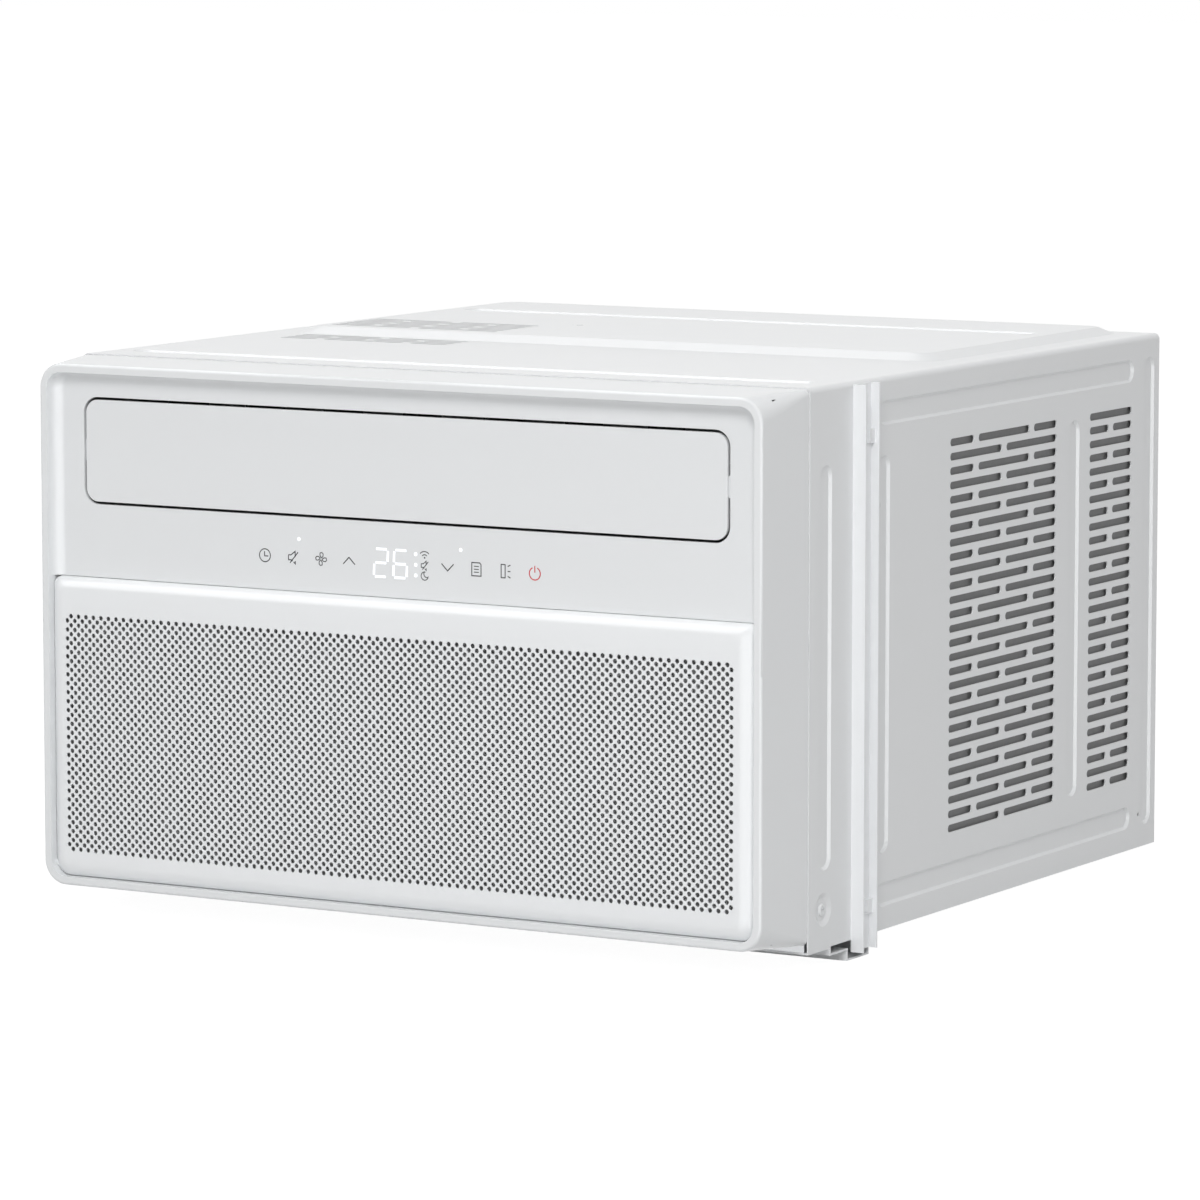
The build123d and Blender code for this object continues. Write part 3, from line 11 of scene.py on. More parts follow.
import bmesh
import bpy
from mathutils import Matrix, Vector


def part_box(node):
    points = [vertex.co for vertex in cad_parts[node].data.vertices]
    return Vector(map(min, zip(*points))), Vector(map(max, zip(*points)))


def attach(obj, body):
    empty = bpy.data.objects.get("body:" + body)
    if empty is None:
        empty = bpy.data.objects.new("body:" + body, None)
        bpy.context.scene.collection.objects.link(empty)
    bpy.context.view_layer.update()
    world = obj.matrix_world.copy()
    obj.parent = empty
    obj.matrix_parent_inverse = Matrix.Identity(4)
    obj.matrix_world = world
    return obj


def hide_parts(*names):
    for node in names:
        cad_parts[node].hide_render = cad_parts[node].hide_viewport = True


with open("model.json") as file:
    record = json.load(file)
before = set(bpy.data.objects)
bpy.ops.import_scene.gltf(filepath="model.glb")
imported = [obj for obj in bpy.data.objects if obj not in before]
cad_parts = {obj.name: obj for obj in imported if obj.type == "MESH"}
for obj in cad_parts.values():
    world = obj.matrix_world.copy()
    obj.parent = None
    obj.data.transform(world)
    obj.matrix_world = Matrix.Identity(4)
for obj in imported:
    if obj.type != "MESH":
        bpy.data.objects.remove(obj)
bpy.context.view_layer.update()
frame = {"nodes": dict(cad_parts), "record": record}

scene = bpy.context.scene
nodes = frame["nodes"]

# %% [markdown]
# ## Camera
# The picture was taken with a long lens from the right front, a little above the unit. A long lens
# keeps the edges of a boxy appliance almost parallel. The camera could be aimed with a constraint,
# but plain angles are easier to read and give the same frame every time.

# %% Camera
CAMERA_PLACE = Vector((2.1380, -3.7190, 0.7166))
CAMERA_AZIMUTH = radians(30.0)
CAMERA_ELEVATION = radians(6.86)
CAMERA_LENS = 187.13
CAMERA_SENSOR = 36.0
CAMERA_REACH = 100.0


def add_camera():
    data = bpy.data.cameras.new("portrait_camera")
    data.lens = CAMERA_LENS
    data.sensor_width = CAMERA_SENSOR
    data.clip_end = CAMERA_REACH
    camera = bpy.data.objects.new("portrait_camera", data)
    camera.location = CAMERA_PLACE
    camera.rotation_euler = (pi / 2 - CAMERA_ELEVATION, 0.0, CAMERA_AZIMUTH)
    scene.collection.objects.link(camera)
    scene.camera = camera
    return camera


print("camera lens", add_camera().data.lens, "mm")

# %% [markdown]
# ## Lamps
# A product shot of a white appliance needs wide soft lamps, so that its faces differ only gently:
# the top is lightest, then the front, then the side. The main lamp stands at the right front above
# the camera, a weak one fills the left, and a broad one hangs overhead. A sun lamp would be
# simpler, but its shadows are hard. The lamps are hidden from mirror rays, so that no flat face
# turns white when it is seen from another side.

# %% Lamps
LAMP_AIM = Vector((0.0, 0.0, 0.18))


def add_lamp(name, place, width, power):
    data = bpy.data.lights.new(name, "AREA")
    data.shape = "RECTANGLE"
    data.size = width
    data.size_y = width
    data.energy = power
    lamp = bpy.data.objects.new(name, data)
    lamp.location = place
    lamp.rotation_euler = (LAMP_AIM - Vector(place)).to_track_quat("-Z", "Y").to_euler()
    lamp.visible_glossy = False
    scene.collection.objects.link(lamp)
    return lamp


lamps = [
    add_lamp("main_lamp_right", (1.95, -3.72, 2.90), 1.8, 106.0),
    add_lamp("fill_lamp_left", (-2.9, -1.9, 1.2), 2.0, 9.0),
    add_lamp("top_lamp", (0.0, -0.3, 3.4), 1.8, 22.0),
]
print("lamps", [lamp.name for lamp in lamps])

# %% [markdown]
# ## Nodes in one statement
# Sky, floor, finishes and repeated shapes are all node trees. In the editor one adds a node, fills
# in its inputs and draws links to it. In code that soon makes pages of the same three statements,
# so a helper does all three at once, and two more do the sums.

# %% Node helpers


def feed(tree, slot, value):
    """Links an input to a socket, or fills it in where the value is no socket."""
    if isinstance(value, bpy.types.NodeSocket):
        tree.links.new(value, slot)
    else:
        slot.default_value = value


def add_node(tree, kind, inputs=None, **settings):
    """A node with its settings. Inputs are named or numbered, and each is a value or a socket."""
    made = tree.nodes.new(kind)
    for key, value in settings.items():
        setattr(made, key, value)
    for label, value in (inputs or {}).items():
        feed(tree, made.inputs[label], value)
    return made


def number(tree, operation, first, second=0.0):
    """Result of a sum with two sockets or numbers."""
    return add_node(tree, "ShaderNodeMath", {0: first, 1: second}, operation=operation).outputs[0]


def product(tree, first, *others):
    """All factors multiplied."""
    for other in others:
        first = number(tree, "MULTIPLY", first, other)
    return first


print("node helpers ready")

# %% [markdown]
# ## Sky
# The sky lights the unit with an even grey, but the camera sees it white, as a studio backdrop.
# Mirror rays find two bright soft boxes painted on that white: a long one low in front, and a
# stripe that passes over at the left. They draw bright lines along the rounded edges, and the flat
# faces keep their tone. More lamps would do it too, but each one adds noise everywhere.

# %% Sky
SKY_LIGHT = 0.385
FRONT_BOX_LIGHT = 3.2
HIGH_BOX_LIGHT = 4.0
WHITE = (1.0, 1.0, 1.0, 1.0)
# Limits of the soft boxes as (low, high, softness). The turn is in degrees from straight ahead,
# the axes are those of a direction of length 1.
FRONT_BOX_TURN = (-14, 72, 8)
FRONT_BOX_Z = (-0.36, 0.10, 0.08)
HIGH_BOX = {"X": (-0.64, -0.36, 0.08), "Z": (0.40, 2.0, 0.12), "Y": (-0.74, 0.05, 0.65)}

scene.view_settings.view_transform = "Standard"


def camera_or_mirror_ray(tree):
    """1 where the eye looks straight at something, or sees it in a mirror or through glass."""
    path = add_node(tree, "ShaderNodeLightPath").outputs
    straight = number(tree, "MAXIMUM", path["Is Camera Ray"], path["Is Transmission Ray"])
    return number(tree, "MAXIMUM", straight, path["Is Glossy Ray"])


def within(tree, value, low, high, soft):
    """1 between two limits, with soft ends."""
    masks = []
    for start, end in ((low - soft, low), (high + soft, high)):
        inputs = {"Value": value, "From Min": start, "From Max": end}
        ramp = add_node(tree, "ShaderNodeMapRange", inputs, interpolation_type="SMOOTHSTEP")
        masks.append(ramp.outputs["Result"])
    return product(tree, *masks)


def soft_boxes(tree):
    """Brightness that mirror rays find in each direction of the sky."""
    direction = add_node(tree, "ShaderNodeTexCoord").outputs["Generated"]
    axes = add_node(tree, "ShaderNodeSeparateXYZ", {0: direction}).outputs
    turn = number(tree, "ARCTAN2", axes["X"], number(tree, "MULTIPLY", axes["Y"], -1.0))
    across = within(tree, turn, *[radians(limit) for limit in FRONT_BOX_TURN])
    front = product(tree, across, within(tree, axes["Z"], *FRONT_BOX_Z), FRONT_BOX_LIGHT)
    patch = [within(tree, axes[axis], *limits) for axis, limits in HIGH_BOX.items()]
    high = product(tree, *patch, HIGH_BOX_LIGHT)
    return number(tree, "ADD", number(tree, "ADD", front, high), 1.0)


def mix_shaders(tree, share, first, second):
    return add_node(tree, "ShaderNodeMixShader", {"Fac": share, 1: first, 2: second}).outputs[0]


def build_sky():
    world = bpy.data.worlds.new("studio_sky")
    world.use_nodes = True
    scene.world = world
    tree = world.node_tree
    tree.nodes.clear()
    lights = []
    for strength in (SKY_LIGHT, soft_boxes(tree)):
        inputs = {"Color": WHITE, "Strength": strength}
        lights.append(add_node(tree, "ShaderNodeBackground", inputs).outputs[0])
    light = mix_shaders(tree, camera_or_mirror_ray(tree), *lights)
    add_node(tree, "ShaderNodeOutputWorld", {"Surface": light})
    return world


print("sky", build_sky().name)

# %% [markdown]
# ## Floor
# The unit stands on white paper, and only a faint shadow lies under it. A matte white floor alone
# looks grey beside the white sky. So the camera sees a share of matte white, which keeps the
# shadow, under a veil of glow. Mirror rays pass through the floor to the low soft box behind it.

# %% Floor
FLOOR_SIZE = 40.0
FLOOR_WHITE = 0.72
FLOOR_VEIL = 0.80
FLOOR_GLOW = 1.20


def empty_material(name):
    material = bpy.data.materials.new(name)
    material.use_nodes = True
    material.node_tree.nodes.clear()
    return material, material.node_tree


def floor_paint():
    paint, tree = empty_material("studio_floor_white")
    white = (FLOOR_WHITE, FLOOR_WHITE, FLOOR_WHITE, 1.0)
    matte = add_node(tree, "ShaderNodeBsdfDiffuse", {"Color": white}).outputs[0]
    glow = add_node(tree, "ShaderNodeEmission", {"Strength": FLOOR_GLOW}).outputs[0]
    clear = add_node(tree, "ShaderNodeBsdfTransparent").outputs[0]
    veil = number(tree, "MULTIPLY", camera_or_mirror_ray(tree), FLOOR_VEIL)
    mirror = add_node(tree, "ShaderNodeLightPath").outputs["Is Glossy Ray"]
    surface = mix_shaders(tree, mirror, mix_shaders(tree, veil, matte, glow), clear)
    add_node(tree, "ShaderNodeOutputMaterial", {"Surface": surface})
    return paint


def build_floor():
    half = FLOOR_SIZE / 2
    mesh = bpy.data.meshes.new("studio_floor")
    corners = [(-half, -half, 0), (half, -half, 0), (half, half, 0), (-half, half, 0)]
    mesh.from_pydata(corners, [], [(0, 1, 2, 3)])
    floor = bpy.data.objects.new("studio_floor", mesh)
    scene.collection.objects.link(floor)
    mesh.materials.append(floor_paint())
    return floor


print("floor", build_floor().name)

# %% [markdown]
# ## Effects that several finishes share
# Real surfaces are never one flat colour. Dark paint and mouldings have a faint mottle, rubber and
# foam have a fine grain, rolled sheet has long streaks, and level surfaces inside the machine
# collect dust. White paint and white mouldings are almost even: under soft light the least mottle
# looks like stains. Each effect is a shader group, built once and placed with its own values.

# %% Shader group helpers


def add_socket(group, label, way):
    kind = "NodeSocketColor" if label == "Colour" else "NodeSocketFloat"
    return group.interface.new_socket(label, in_out=way, socket_type=kind)


def shader_group(name, inputs, outputs):
    """An empty group with its inputs, which have default values, and its outputs."""
    group = bpy.data.node_groups.new(name, "ShaderNodeTree")
    for label, default in inputs.items():
        add_socket(group, label, "INPUT").default_value = default
    for label in outputs:
        add_socket(group, label, "OUTPUT")
    return group, add_node(group, "NodeGroupInput").outputs, add_node(group, "NodeGroupOutput").inputs


def noise_in(tree, scale, detail, stretch=None):
    """Noise on Object coordinates, stretched along an axis where a stretch is given."""
    place = add_node(tree, "ShaderNodeTexCoord").outputs["Object"]
    if stretch:
        mapping = {"Vector": place, "Scale": stretch}
        place = add_node(tree, "ShaderNodeMapping", mapping).outputs["Vector"]
    inputs = {"Vector": place, "Scale": scale, "Detail": detail}
    return add_node(tree, "ShaderNodeTexNoise", inputs).outputs["Fac"]


def spread(tree, value, low, high):
    """Maps a 0 to 1 value to a range given by two sockets or numbers."""
    inputs = {"Value": value, "To Min": low, "To Max": high}
    return add_node(tree, "ShaderNodeMapRange", inputs).outputs["Result"]


def shade(group, given, result, pattern, darkest, lightest):
    """Lets a pattern shade the colour of a group and set its roughness."""
    factor = spread(group, pattern, darkest, lightest)
    inputs = {0: given["Colour"], "Scale": factor}
    tint = add_node(group, "ShaderNodeVectorMath", inputs, operation="SCALE")
    rough = spread(group, pattern, given["Smoothest"], given["Roughest"])
    feed(group, result["Colour"], tint.outputs["Vector"])
    feed(group, result["Roughness"], rough)


print("group helpers ready")

# %% [markdown]
# ### The four groups
# Mottle is soft noise. Streaks are the same noise drawn out along one axis. Skin is very fine noise
# that is used as height. Dust looks at the normal and lies only where a face looks up.

# %% Mottle, skin, streaks and dust
STREAK_STRETCH = (0.08, 1.0, 2.5)
STREAK_SHADES = (0.82, 1.14)
DUST_COLOUR = (0.42, 0.40, 0.37, 1.0)
SHADED = ("Colour", "Roughness")


def build_mottle():
    inputs = {"Colour": (0.8, 0.8, 0.8, 1.0), "Scale": 20.0, "Lightest": 1.02, "Darkest": 0.98,
              "Smoothest": 0.3, "Roughest": 0.4}
    group, given, result = shader_group("surface_mottle", inputs, SHADED)
    cloud = noise_in(group, given["Scale"], detail=4.0)
    shade(group, given, result, cloud, given["Darkest"], given["Lightest"])
    return group


def build_skin():
    group, given, result = shader_group("surface_skin", {"Scale": 900.0}, ("Height",))
    feed(group, result["Height"], noise_in(group, given["Scale"], detail=2.0))
    return group


def build_streaks():
    inputs = {"Colour": (0.6, 0.6, 0.6, 1.0), "Scale": 60.0, "Smoothest": 0.25, "Roughest": 0.5}
    group, given, result = shader_group("rolled_streaks", inputs, SHADED)
    lines = noise_in(group, given["Scale"], detail=3.0, stretch=STREAK_STRETCH)
    shade(group, given, result, lines, *STREAK_SHADES)
    return group


def build_dust():
    inputs = {"Colour": (0.5, 0.5, 0.5, 1.0), "Amount": 0.3, "Scale": 35.0}
    group, given, result = shader_group("settled_dust", inputs, ("Colour",))
    facing = add_node(group, "ShaderNodeNewGeometry").outputs["Normal"]
    level = add_node(group, "ShaderNodeSeparateXYZ", {0: facing}).outputs["Z"]
    upward = number(group, "MAXIMUM", level, 0.0)
    share = product(group, upward, noise_in(group, given["Scale"], detail=5.0), given["Amount"])
    mixed = {"Factor": share, "A": given["Colour"], "B": DUST_COLOUR}
    mix = add_node(group, "ShaderNodeMix", mixed, data_type="RGBA")
    feed(group, result["Colour"], mix.outputs["Result"])
    return group


mottle_group = build_mottle()
skin_group = build_skin()
streak_group = build_streaks()
dust_group = build_dust()
print("shader groups", [group.name for group in (mottle_group, skin_group, streak_group, dust_group)])

# %% [markdown]
# ## Finishes
# The case is powder-coated steel with a soft shine, and the room side is moulded plastic that shines
# about as much. Inside are zinc-coated sheet, black paint, copper, foam and rubber. Every finish is
# a Principled shader whose colour and roughness come from the shared groups. Numbers that are even
# all over, such as the metal of a bare sheet, are set straight on the shader.

# %% Finish helpers


def start_finish(name, metal=0.0):
    finish, tree = empty_material(name)
    shader = add_node(tree, "ShaderNodeBsdfPrincipled", {"Metallic": metal})
    add_node(tree, "ShaderNodeOutputMaterial", {"Surface": shader.outputs[0]})
    return finish, tree, shader.inputs


def place_group(tree, group, **values):
    return add_node(tree, "ShaderNodeGroup", node_tree=group, inputs=values).outputs


def cover(tree, shader, surface, dust=0.0):
    """Gives the shader the colour and roughness of a placed group, under dust where there is some."""
    colour = surface["Colour"]
    if dust:
        colour = place_group(tree, dust_group, Colour=colour, Amount=dust)["Colour"]
    feed(tree, shader["Base Color"], colour)
    feed(tree, shader["Roughness"], surface["Roughness"])


def roughen(tree, shader, scale, strength, distance):
    """Fine relief from the skin group."""
    height = place_group(tree, skin_group, Scale=scale)["Height"]
    inputs = {"Height": height, "Strength": strength, "Distance": distance}
    feed(tree, shader["Normal"], add_node(tree, "ShaderNodeBump", inputs).outputs["Normal"])


def mottled_finish(name, colour, rough, scale=18.0, contrast=0.015, skin=None, dust=0.0):
    """Paint, plastic, foam or rubber."""
    finish, tree, shader = start_finish(name)
    surface = place_group(tree, mottle_group, Colour=(*colour, 1.0), Scale=scale, Lightest=1.0 + contrast,
                          Darkest=1.0 - contrast, Smoothest=rough[0], Roughest=rough[1])
    cover(tree, shader, surface, dust)
    if skin:
        roughen(tree, shader, *skin)
    return finish


def rolled_finish(name, colour, rough, scale=60.0, dust=0.0):
    """Bare metal with streaks from rolling or drawing."""
    finish, tree, shader = start_finish(name, metal=1.0)
    surface = place_group(tree, streak_group, Colour=(*colour, 1.0), Scale=scale, Smoothest=rough[0],
                          Roughest=rough[1])
    cover(tree, shader, surface, dust)
    return finish


print("finish helpers ready")

# %% [markdown]
# ### One finish for each slot
# The imported model names a slot for every piece, such as copper or white plastic. A table gives each
# slot its finish. A few pieces have a tone of their own in the photograph, which their finishes copy
# partly as painted light and shade, so they are dressed by name afterwards.

# %% Finishes for the record's slots
EVEN = 0.002
PAINT_ROUGH = (0.272, 0.280)
MOULD_ROUGH = (0.265, 0.272)
finishes = {
    "white_steel": mottled_finish("white_powder_coat", (0.795, 0.806, 0.815), PAINT_ROUGH, contrast=EVEN),
    "white_plastic": mottled_finish("white_moulding", (0.805, 0.818, 0.828), MOULD_ROUGH, contrast=EVEN),
    "grey_plastic": mottled_finish("grey_moulding", (0.10, 0.105, 0.11), (0.45, 0.6), contrast=0.06,
                                   dust=0.25),
    "black_plastic": mottled_finish("black_moulding", (0.02, 0.02, 0.022), (0.4, 0.55), contrast=0.1,
                                    dust=0.2),
    "galvanised": rolled_finish("zinc_sheet", (0.46, 0.47, 0.48), (0.32, 0.52), dust=0.3),
    "steel": rolled_finish("plain_steel", (0.50, 0.50, 0.51), (0.22, 0.36), scale=300.0),
    "fin_aluminium": rolled_finish("fin_stock", (0.62, 0.63, 0.64), (0.35, 0.5), scale=120.0, dust=0.2),
    "copper": rolled_finish("copper_tube", (0.72, 0.36, 0.22), (0.25, 0.42), scale=90.0),
    "black_paint": mottled_finish("black_shell_paint", (0.015, 0.015, 0.017), (0.28, 0.4), contrast=0.15,
                                  dust=0.3),
    "rubber": mottled_finish("black_rubber", (0.018, 0.018, 0.018), (0.6, 0.75), contrast=0.12,
                             skin=(1500.0, 0.2, 0.0001)),
    # The filter net's pale grey is partly painted light: it is raised to offset the shade behind the
    # grille's holes.
    "mesh": mottled_finish("filter_net", (0.55, 0.555, 0.56), (0.6, 0.75), contrast=0.05),
    "board": mottled_finish("board_lacquer", (0.02, 0.10, 0.05), (0.2, 0.35), scale=60.0, contrast=0.12),
    "display": mottled_finish("smoked_light_block", (0.03, 0.03, 0.034), (0.1, 0.2), contrast=0.1),
    "foam": mottled_finish("moulded_foam", (0.55, 0.55, 0.54), (0.75, 0.9), scale=300.0, contrast=0.06,
                           skin=(500.0, 0.4, 0.0004), dust=0.2),
}
print("finishes", len(finishes))

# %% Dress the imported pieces


def dress(piece, finish):
    for place in piece.material_slots:
        place.material = finish
    if not piece.material_slots:
        piece.data.materials.append(finish)


def dress_by_slot():
    """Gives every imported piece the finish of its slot."""
    slot_of = {row["node"]: row["material_slot"] for row in frame["record"]["subparts"]}
    for name, piece in nodes.items():
        dress(piece, finishes[slot_of[name]])
    return len(slot_of)


def dress_by_name():
    """Pieces whose finish differs from that of their slot."""
    # Painted light: the filter frame's grey is lightened to offset the shade it lies in behind the grille's
    # holes.
    pale = mottled_finish("filter_frame_painted_light", (0.34, 0.343, 0.346), (0.5, 0.65), contrast=0.04)
    # Painted shade: the side screens are a grey sheet behind the side slots, and their grey stands in for
    # the shade inside the slots.
    screen_painted_shade = mottled_finish("side_screen_painted_shade", (0.27, 0.272, 0.275), (0.6, 0.75), scale=400.0, contrast=0.1)
    # Painted light: the rails' paint is a lighter copy of the case paint, brightened to stand in for the
    # light that falls on them.
    rail = mottled_finish("rail_coat_painted_light", (0.885, 0.897, 0.910), PAINT_ROUGH, contrast=EVEN)
    own = {"filter_frame": pale, "side_screen_right": screen_painted_shade, "side_screen_left": screen_painted_shade,
           "side_rail_right": rail, "side_rail_left": rail}
    for name, finish in own.items():
        dress(nodes[name], finish)
    return sorted(own)


print("dressed", dress_by_slot(), "pieces by slot")
print("finishes of their own", dress_by_name())

# %% [markdown]
# ## Node trees for what repeats
# Perforations, fins, net threads and screws each repeat one small shape by a rule. A Geometry Nodes
# tree states the rule once, with named inputs for its sizes. The result is then made a plain mesh,
# because instances don't travel with an exported model.

# %% Node tree helpers


def geometry_tree(name, sizes, counts=()):
    """An empty tree with named inputs for counts, sizes and a finish, and one geometry output."""
    tree = bpy.data.node_groups.new(name, "GeometryNodeTree")
    tree.interface.new_socket("Geometry", in_out="OUTPUT", socket_type="NodeSocketGeometry")
    kinds = {"NodeSocketInt": counts, "NodeSocketFloat": sizes, "NodeSocketMaterial": ["Finish"]}
    for kind, labels in kinds.items():
        for label in labels:
            tree.interface.new_socket(label, in_out="INPUT", socket_type=kind)
    return tree, add_node(tree, "NodeGroupInput").outputs


def realize(tree, geometry):
    return add_node(tree, "GeometryNodeRealizeInstances", {"Geometry": geometry}).outputs["Geometry"]


def end_tree(tree, given, geometry):
    """Realizes the instances, gives them the finish and ends the tree."""
    inputs = {"Geometry": realize(tree, geometry), "Material": given["Finish"]}
    paint = add_node(tree, "GeometryNodeSetMaterial", inputs)
    add_node(tree, "NodeGroupOutput", {"Geometry": paint.outputs["Geometry"]})
    return tree


def vector(tree, x=0.0, y=0.0, z=0.0):
    return add_node(tree, "ShaderNodeCombineXYZ", {0: x, 1: y, 2: z}).outputs[0]


def join(tree, *parts):
    node = add_node(tree, "GeometryNodeJoinGeometry")
    for part in parts:
        tree.links.new(part, node.inputs[0])
    return node.outputs[0]


def span(tree, count, pitch):
    """Distance from the first to the last of a row."""
    return number(tree, "MULTIPLY", number(tree, "SUBTRACT", count, 1.0), pitch)


def row_of_points(tree, axis, count, pitch):
    """Points along an axis, centred on the origin."""
    first = number(tree, "MULTIPLY", span(tree, count, pitch), -0.5)
    inputs = {"Count": count, "Start Location": vector(tree, **{axis: first}),
              "Offset": vector(tree, **{axis: pitch})}
    return add_node(tree, "GeometryNodeMeshLine", inputs, mode="OFFSET").outputs[0]


def bar(tree, **size):
    return add_node(tree, "GeometryNodeMeshCube", {"Size": vector(tree, **size)}).outputs["Mesh"]


def repeat(tree, points, shape, **more):
    """The shape once on every point."""
    inputs = {"Points": points, "Instance": shape, **more}
    return add_node(tree, "GeometryNodeInstanceOnPoints", inputs).outputs["Instances"]


print("tree helpers ready")

# %% [markdown]
# ### From a tree to a mesh
# A tree runs as a modifier on an empty seed object. Its inputs are set by the identifiers of their
# sockets, which stay the same when a name is changed. The result is copied out as a mesh, and its
# points are moved into place, so that the object itself stays at the origin.

# %% Run a tree


def grow(tree, name, finish, **values):
    """Runs a tree and returns the result as a plain mesh object with no modifier."""
    seed = bpy.data.objects.new(name + "_seed", bpy.data.meshes.new(name + "_seed"))
    scene.collection.objects.link(seed)
    modifier = seed.modifiers.new("grow", "NODES")
    modifier.node_group = tree
    sockets = [item for item in tree.interface.items_tree if item.item_type == "SOCKET"]
    identifiers = {item.name: item.identifier for item in sockets if item.in_out == "INPUT"}
    modifier[identifiers["Finish"]] = finish
    for label, value in values.items():
        modifier[identifiers[label.replace("_", " ")]] = value
    graph = bpy.context.evaluated_depsgraph_get()
    mesh = bpy.data.meshes.new_from_object(seed.evaluated_get(graph))
    mesh.name = name
    bpy.data.objects.remove(seed)
    piece = bpy.data.objects.new(name, mesh)
    scene.collection.objects.link(piece)
    return piece


def settle(piece, place):
    """Puts a mesh in place by its points, so that its object stays at the origin."""
    piece.data.transform(place)
    piece.data.update()
    return piece


print("ready to grow meshes")

# %% [markdown]
# ## Intake grille
# The lower front of the unit is a moulded cover with several thousand small round holes in
# staggered rows. A picture of holes would not let the filter show through, so the holes are real.
# Staggered rows make every hole the middle of a diamond, and diamonds tile without gaps: the tree
# makes one pierced diamond and sets it on two interleaved grids.

# %% Perforation tree
WELD_DISTANCE = 0.00002


def build_perforation_tree():
    sizes = ["Column Pitch", "Row Pitch", "Hole Radius", "Wall"]
    tree, given = geometry_tree("perforated_sheet", sizes, counts=["Columns", "Rows", "Hole Sides"])
    half_row = number(tree, "MULTIPLY", given["Row Pitch"], 0.5)
    kite = {"Width": given["Column Pitch"], "Bottom Height": half_row, "Top Height": half_row}
    diamond = add_node(tree, "GeometryNodeCurvePrimitiveQuadrilateral", kite, mode="KITE")
    ring = {"Resolution": given["Hole Sides"], "Radius": given["Hole Radius"]}
    rim = add_node(tree, "GeometryNodeCurvePrimitiveCircle", ring)
    outlines = join(tree, diamond.outputs[0], rim.outputs[0])
    face = add_node(tree, "GeometryNodeFillCurve", {"Curve": outlines})

    ring = {"Vertices": given["Hole Sides"], "Radius": given["Hole Radius"]}
    circle = add_node(tree, "GeometryNodeMeshCircle", ring)
    sweep = {"Mesh": circle.outputs[0], "Offset": vector(tree, z=-1.0), "Offset Scale": given["Wall"]}
    wall = add_node(tree, "GeometryNodeExtrudeMesh", sweep, mode="EDGES")
    inward = add_node(tree, "GeometryNodeFlipFaces", {"Mesh": wall.outputs["Mesh"]})
    tile = join(tree, face.outputs[0], inward.outputs["Mesh"])

    grids = []
    for fewer_columns, fewer_rows in ((1.0, 0.0), (0.0, 1.0)):
        columns = number(tree, "SUBTRACT", given["Columns"], fewer_columns)
        rows = number(tree, "SUBTRACT", given["Rows"], fewer_rows)
        lattice = {"Vertices X": columns, "Size X": span(tree, columns, given["Column Pitch"]),
                   "Vertices Y": rows, "Size Y": span(tree, rows, given["Row Pitch"])}
        grids.append(add_node(tree, "GeometryNodeMeshGrid", lattice).outputs["Mesh"])
    tiles = realize(tree, repeat(tree, join(tree, *grids), tile))
    weld = {"Geometry": tiles, "Distance": WELD_DISTANCE}
    return end_tree(tree, given, add_node(tree, "GeometryNodeMergeByDistance", weld).outputs["Geometry"])


perforation_tree = build_perforation_tree()
print("perforation tree", len(perforation_tree.nodes), "nodes")

# %% Perforated sheet
HOLE_COLUMNS = 85
HOLE_ROWS = 27
FIELD_MIDDLE = -0.0017
FIELD_HALF = 0.2551
FIELD_LOW = 0.0327
FIELD_TOP = 0.1912
HOLE_RADIUS = 0.00168
HOLE_SIDES = 10
HOLE_WALL = 0.0009
hole_pitch = 2 * FIELD_HALF / (HOLE_COLUMNS - 1)
row_pitch = (FIELD_TOP - FIELD_LOW) / (HOLE_ROWS - 1)
grille_low, grille_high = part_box("intake_grille")
case_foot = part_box("case_wrapper")[0].z
grille_front = grille_low.y
field_middle = case_foot + (FIELD_LOW + FIELD_TOP) / 2

# Painted light: the grille's plastic is a lighter copy of the white moulding, brightened to stand in for the
# light that falls on the grille.
grille_plastic_painted_light = mottled_finish("grille_moulding_painted_light", (0.862, 0.876, 0.887), MOULD_ROUGH, contrast=EVEN)
perforation = grow(perforation_tree, "intake_grille_perforation", grille_plastic_painted_light,
                   Columns=HOLE_COLUMNS, Rows=HOLE_ROWS, Column_Pitch=hole_pitch, Row_Pitch=row_pitch,
                   Hole_Radius=HOLE_RADIUS, Hole_Sides=HOLE_SIDES, Wall=HOLE_WALL)
field_place = Matrix.Translation((FIELD_MIDDLE, grille_front, field_middle))
settle(perforation, field_place @ Matrix.Rotation(pi / 2, 4, "X"))
print("perforated sheet", len(perforation.data.polygons), "faces")

# %% [markdown]
# ## Grille surround
# The cover's edge rolls back from the flat field, wide at the sides and tighter above. A bevel could
# round it, but all four sides would get the same radius. Here the outline is drawn once for every
# step of the roll, each side with its own width and depth, and a skin is laid over the outlines.

# %% Outlines of the surround
GRILLE_PIN_LENGTH = 0.0036
GRILLE_SPREAD = 0.0016
GRILLE_DROP = 0.0015
GRILLE_CORNER_LOW = 0.0108
GRILLE_CORNER_TOP = 0.0045
GRILLE_FACE_CORNER = 0.004
SMALLEST_CORNER = 0.0005
CORNER_STEPS = 6
# Signs of X and Z at the corners, anticlockwise seen from the room.
CORNERS = ((1, -1), (1, 1), (-1, 1), (-1, -1))
grille_half = grille_high.x - GRILLE_PIN_LENGTH + GRILLE_SPREAD
grille_foot = grille_low.z - GRILLE_DROP
grille_depth = grille_high.y - grille_front
field_wide = FIELD_HALF + hole_pitch / 2
field_tall = (FIELD_TOP - FIELD_LOW) / 2 + row_pitch / 2


def edge_points(width, depth, turn):
    """Inset and depth on a rounded edge. A turn of 0 is its outline, a quarter turn is the face."""
    if depth == grille_depth:
        return width * (1 - cos(turn)), depth * (1 - sin(turn))
    steepest = 2 * atan2(depth, width)
    radius = width / sin(steepest)
    angle = steepest * (1 - 2 * turn / pi)
    return width - radius * sin(angle), radius * (1 - cos(angle))


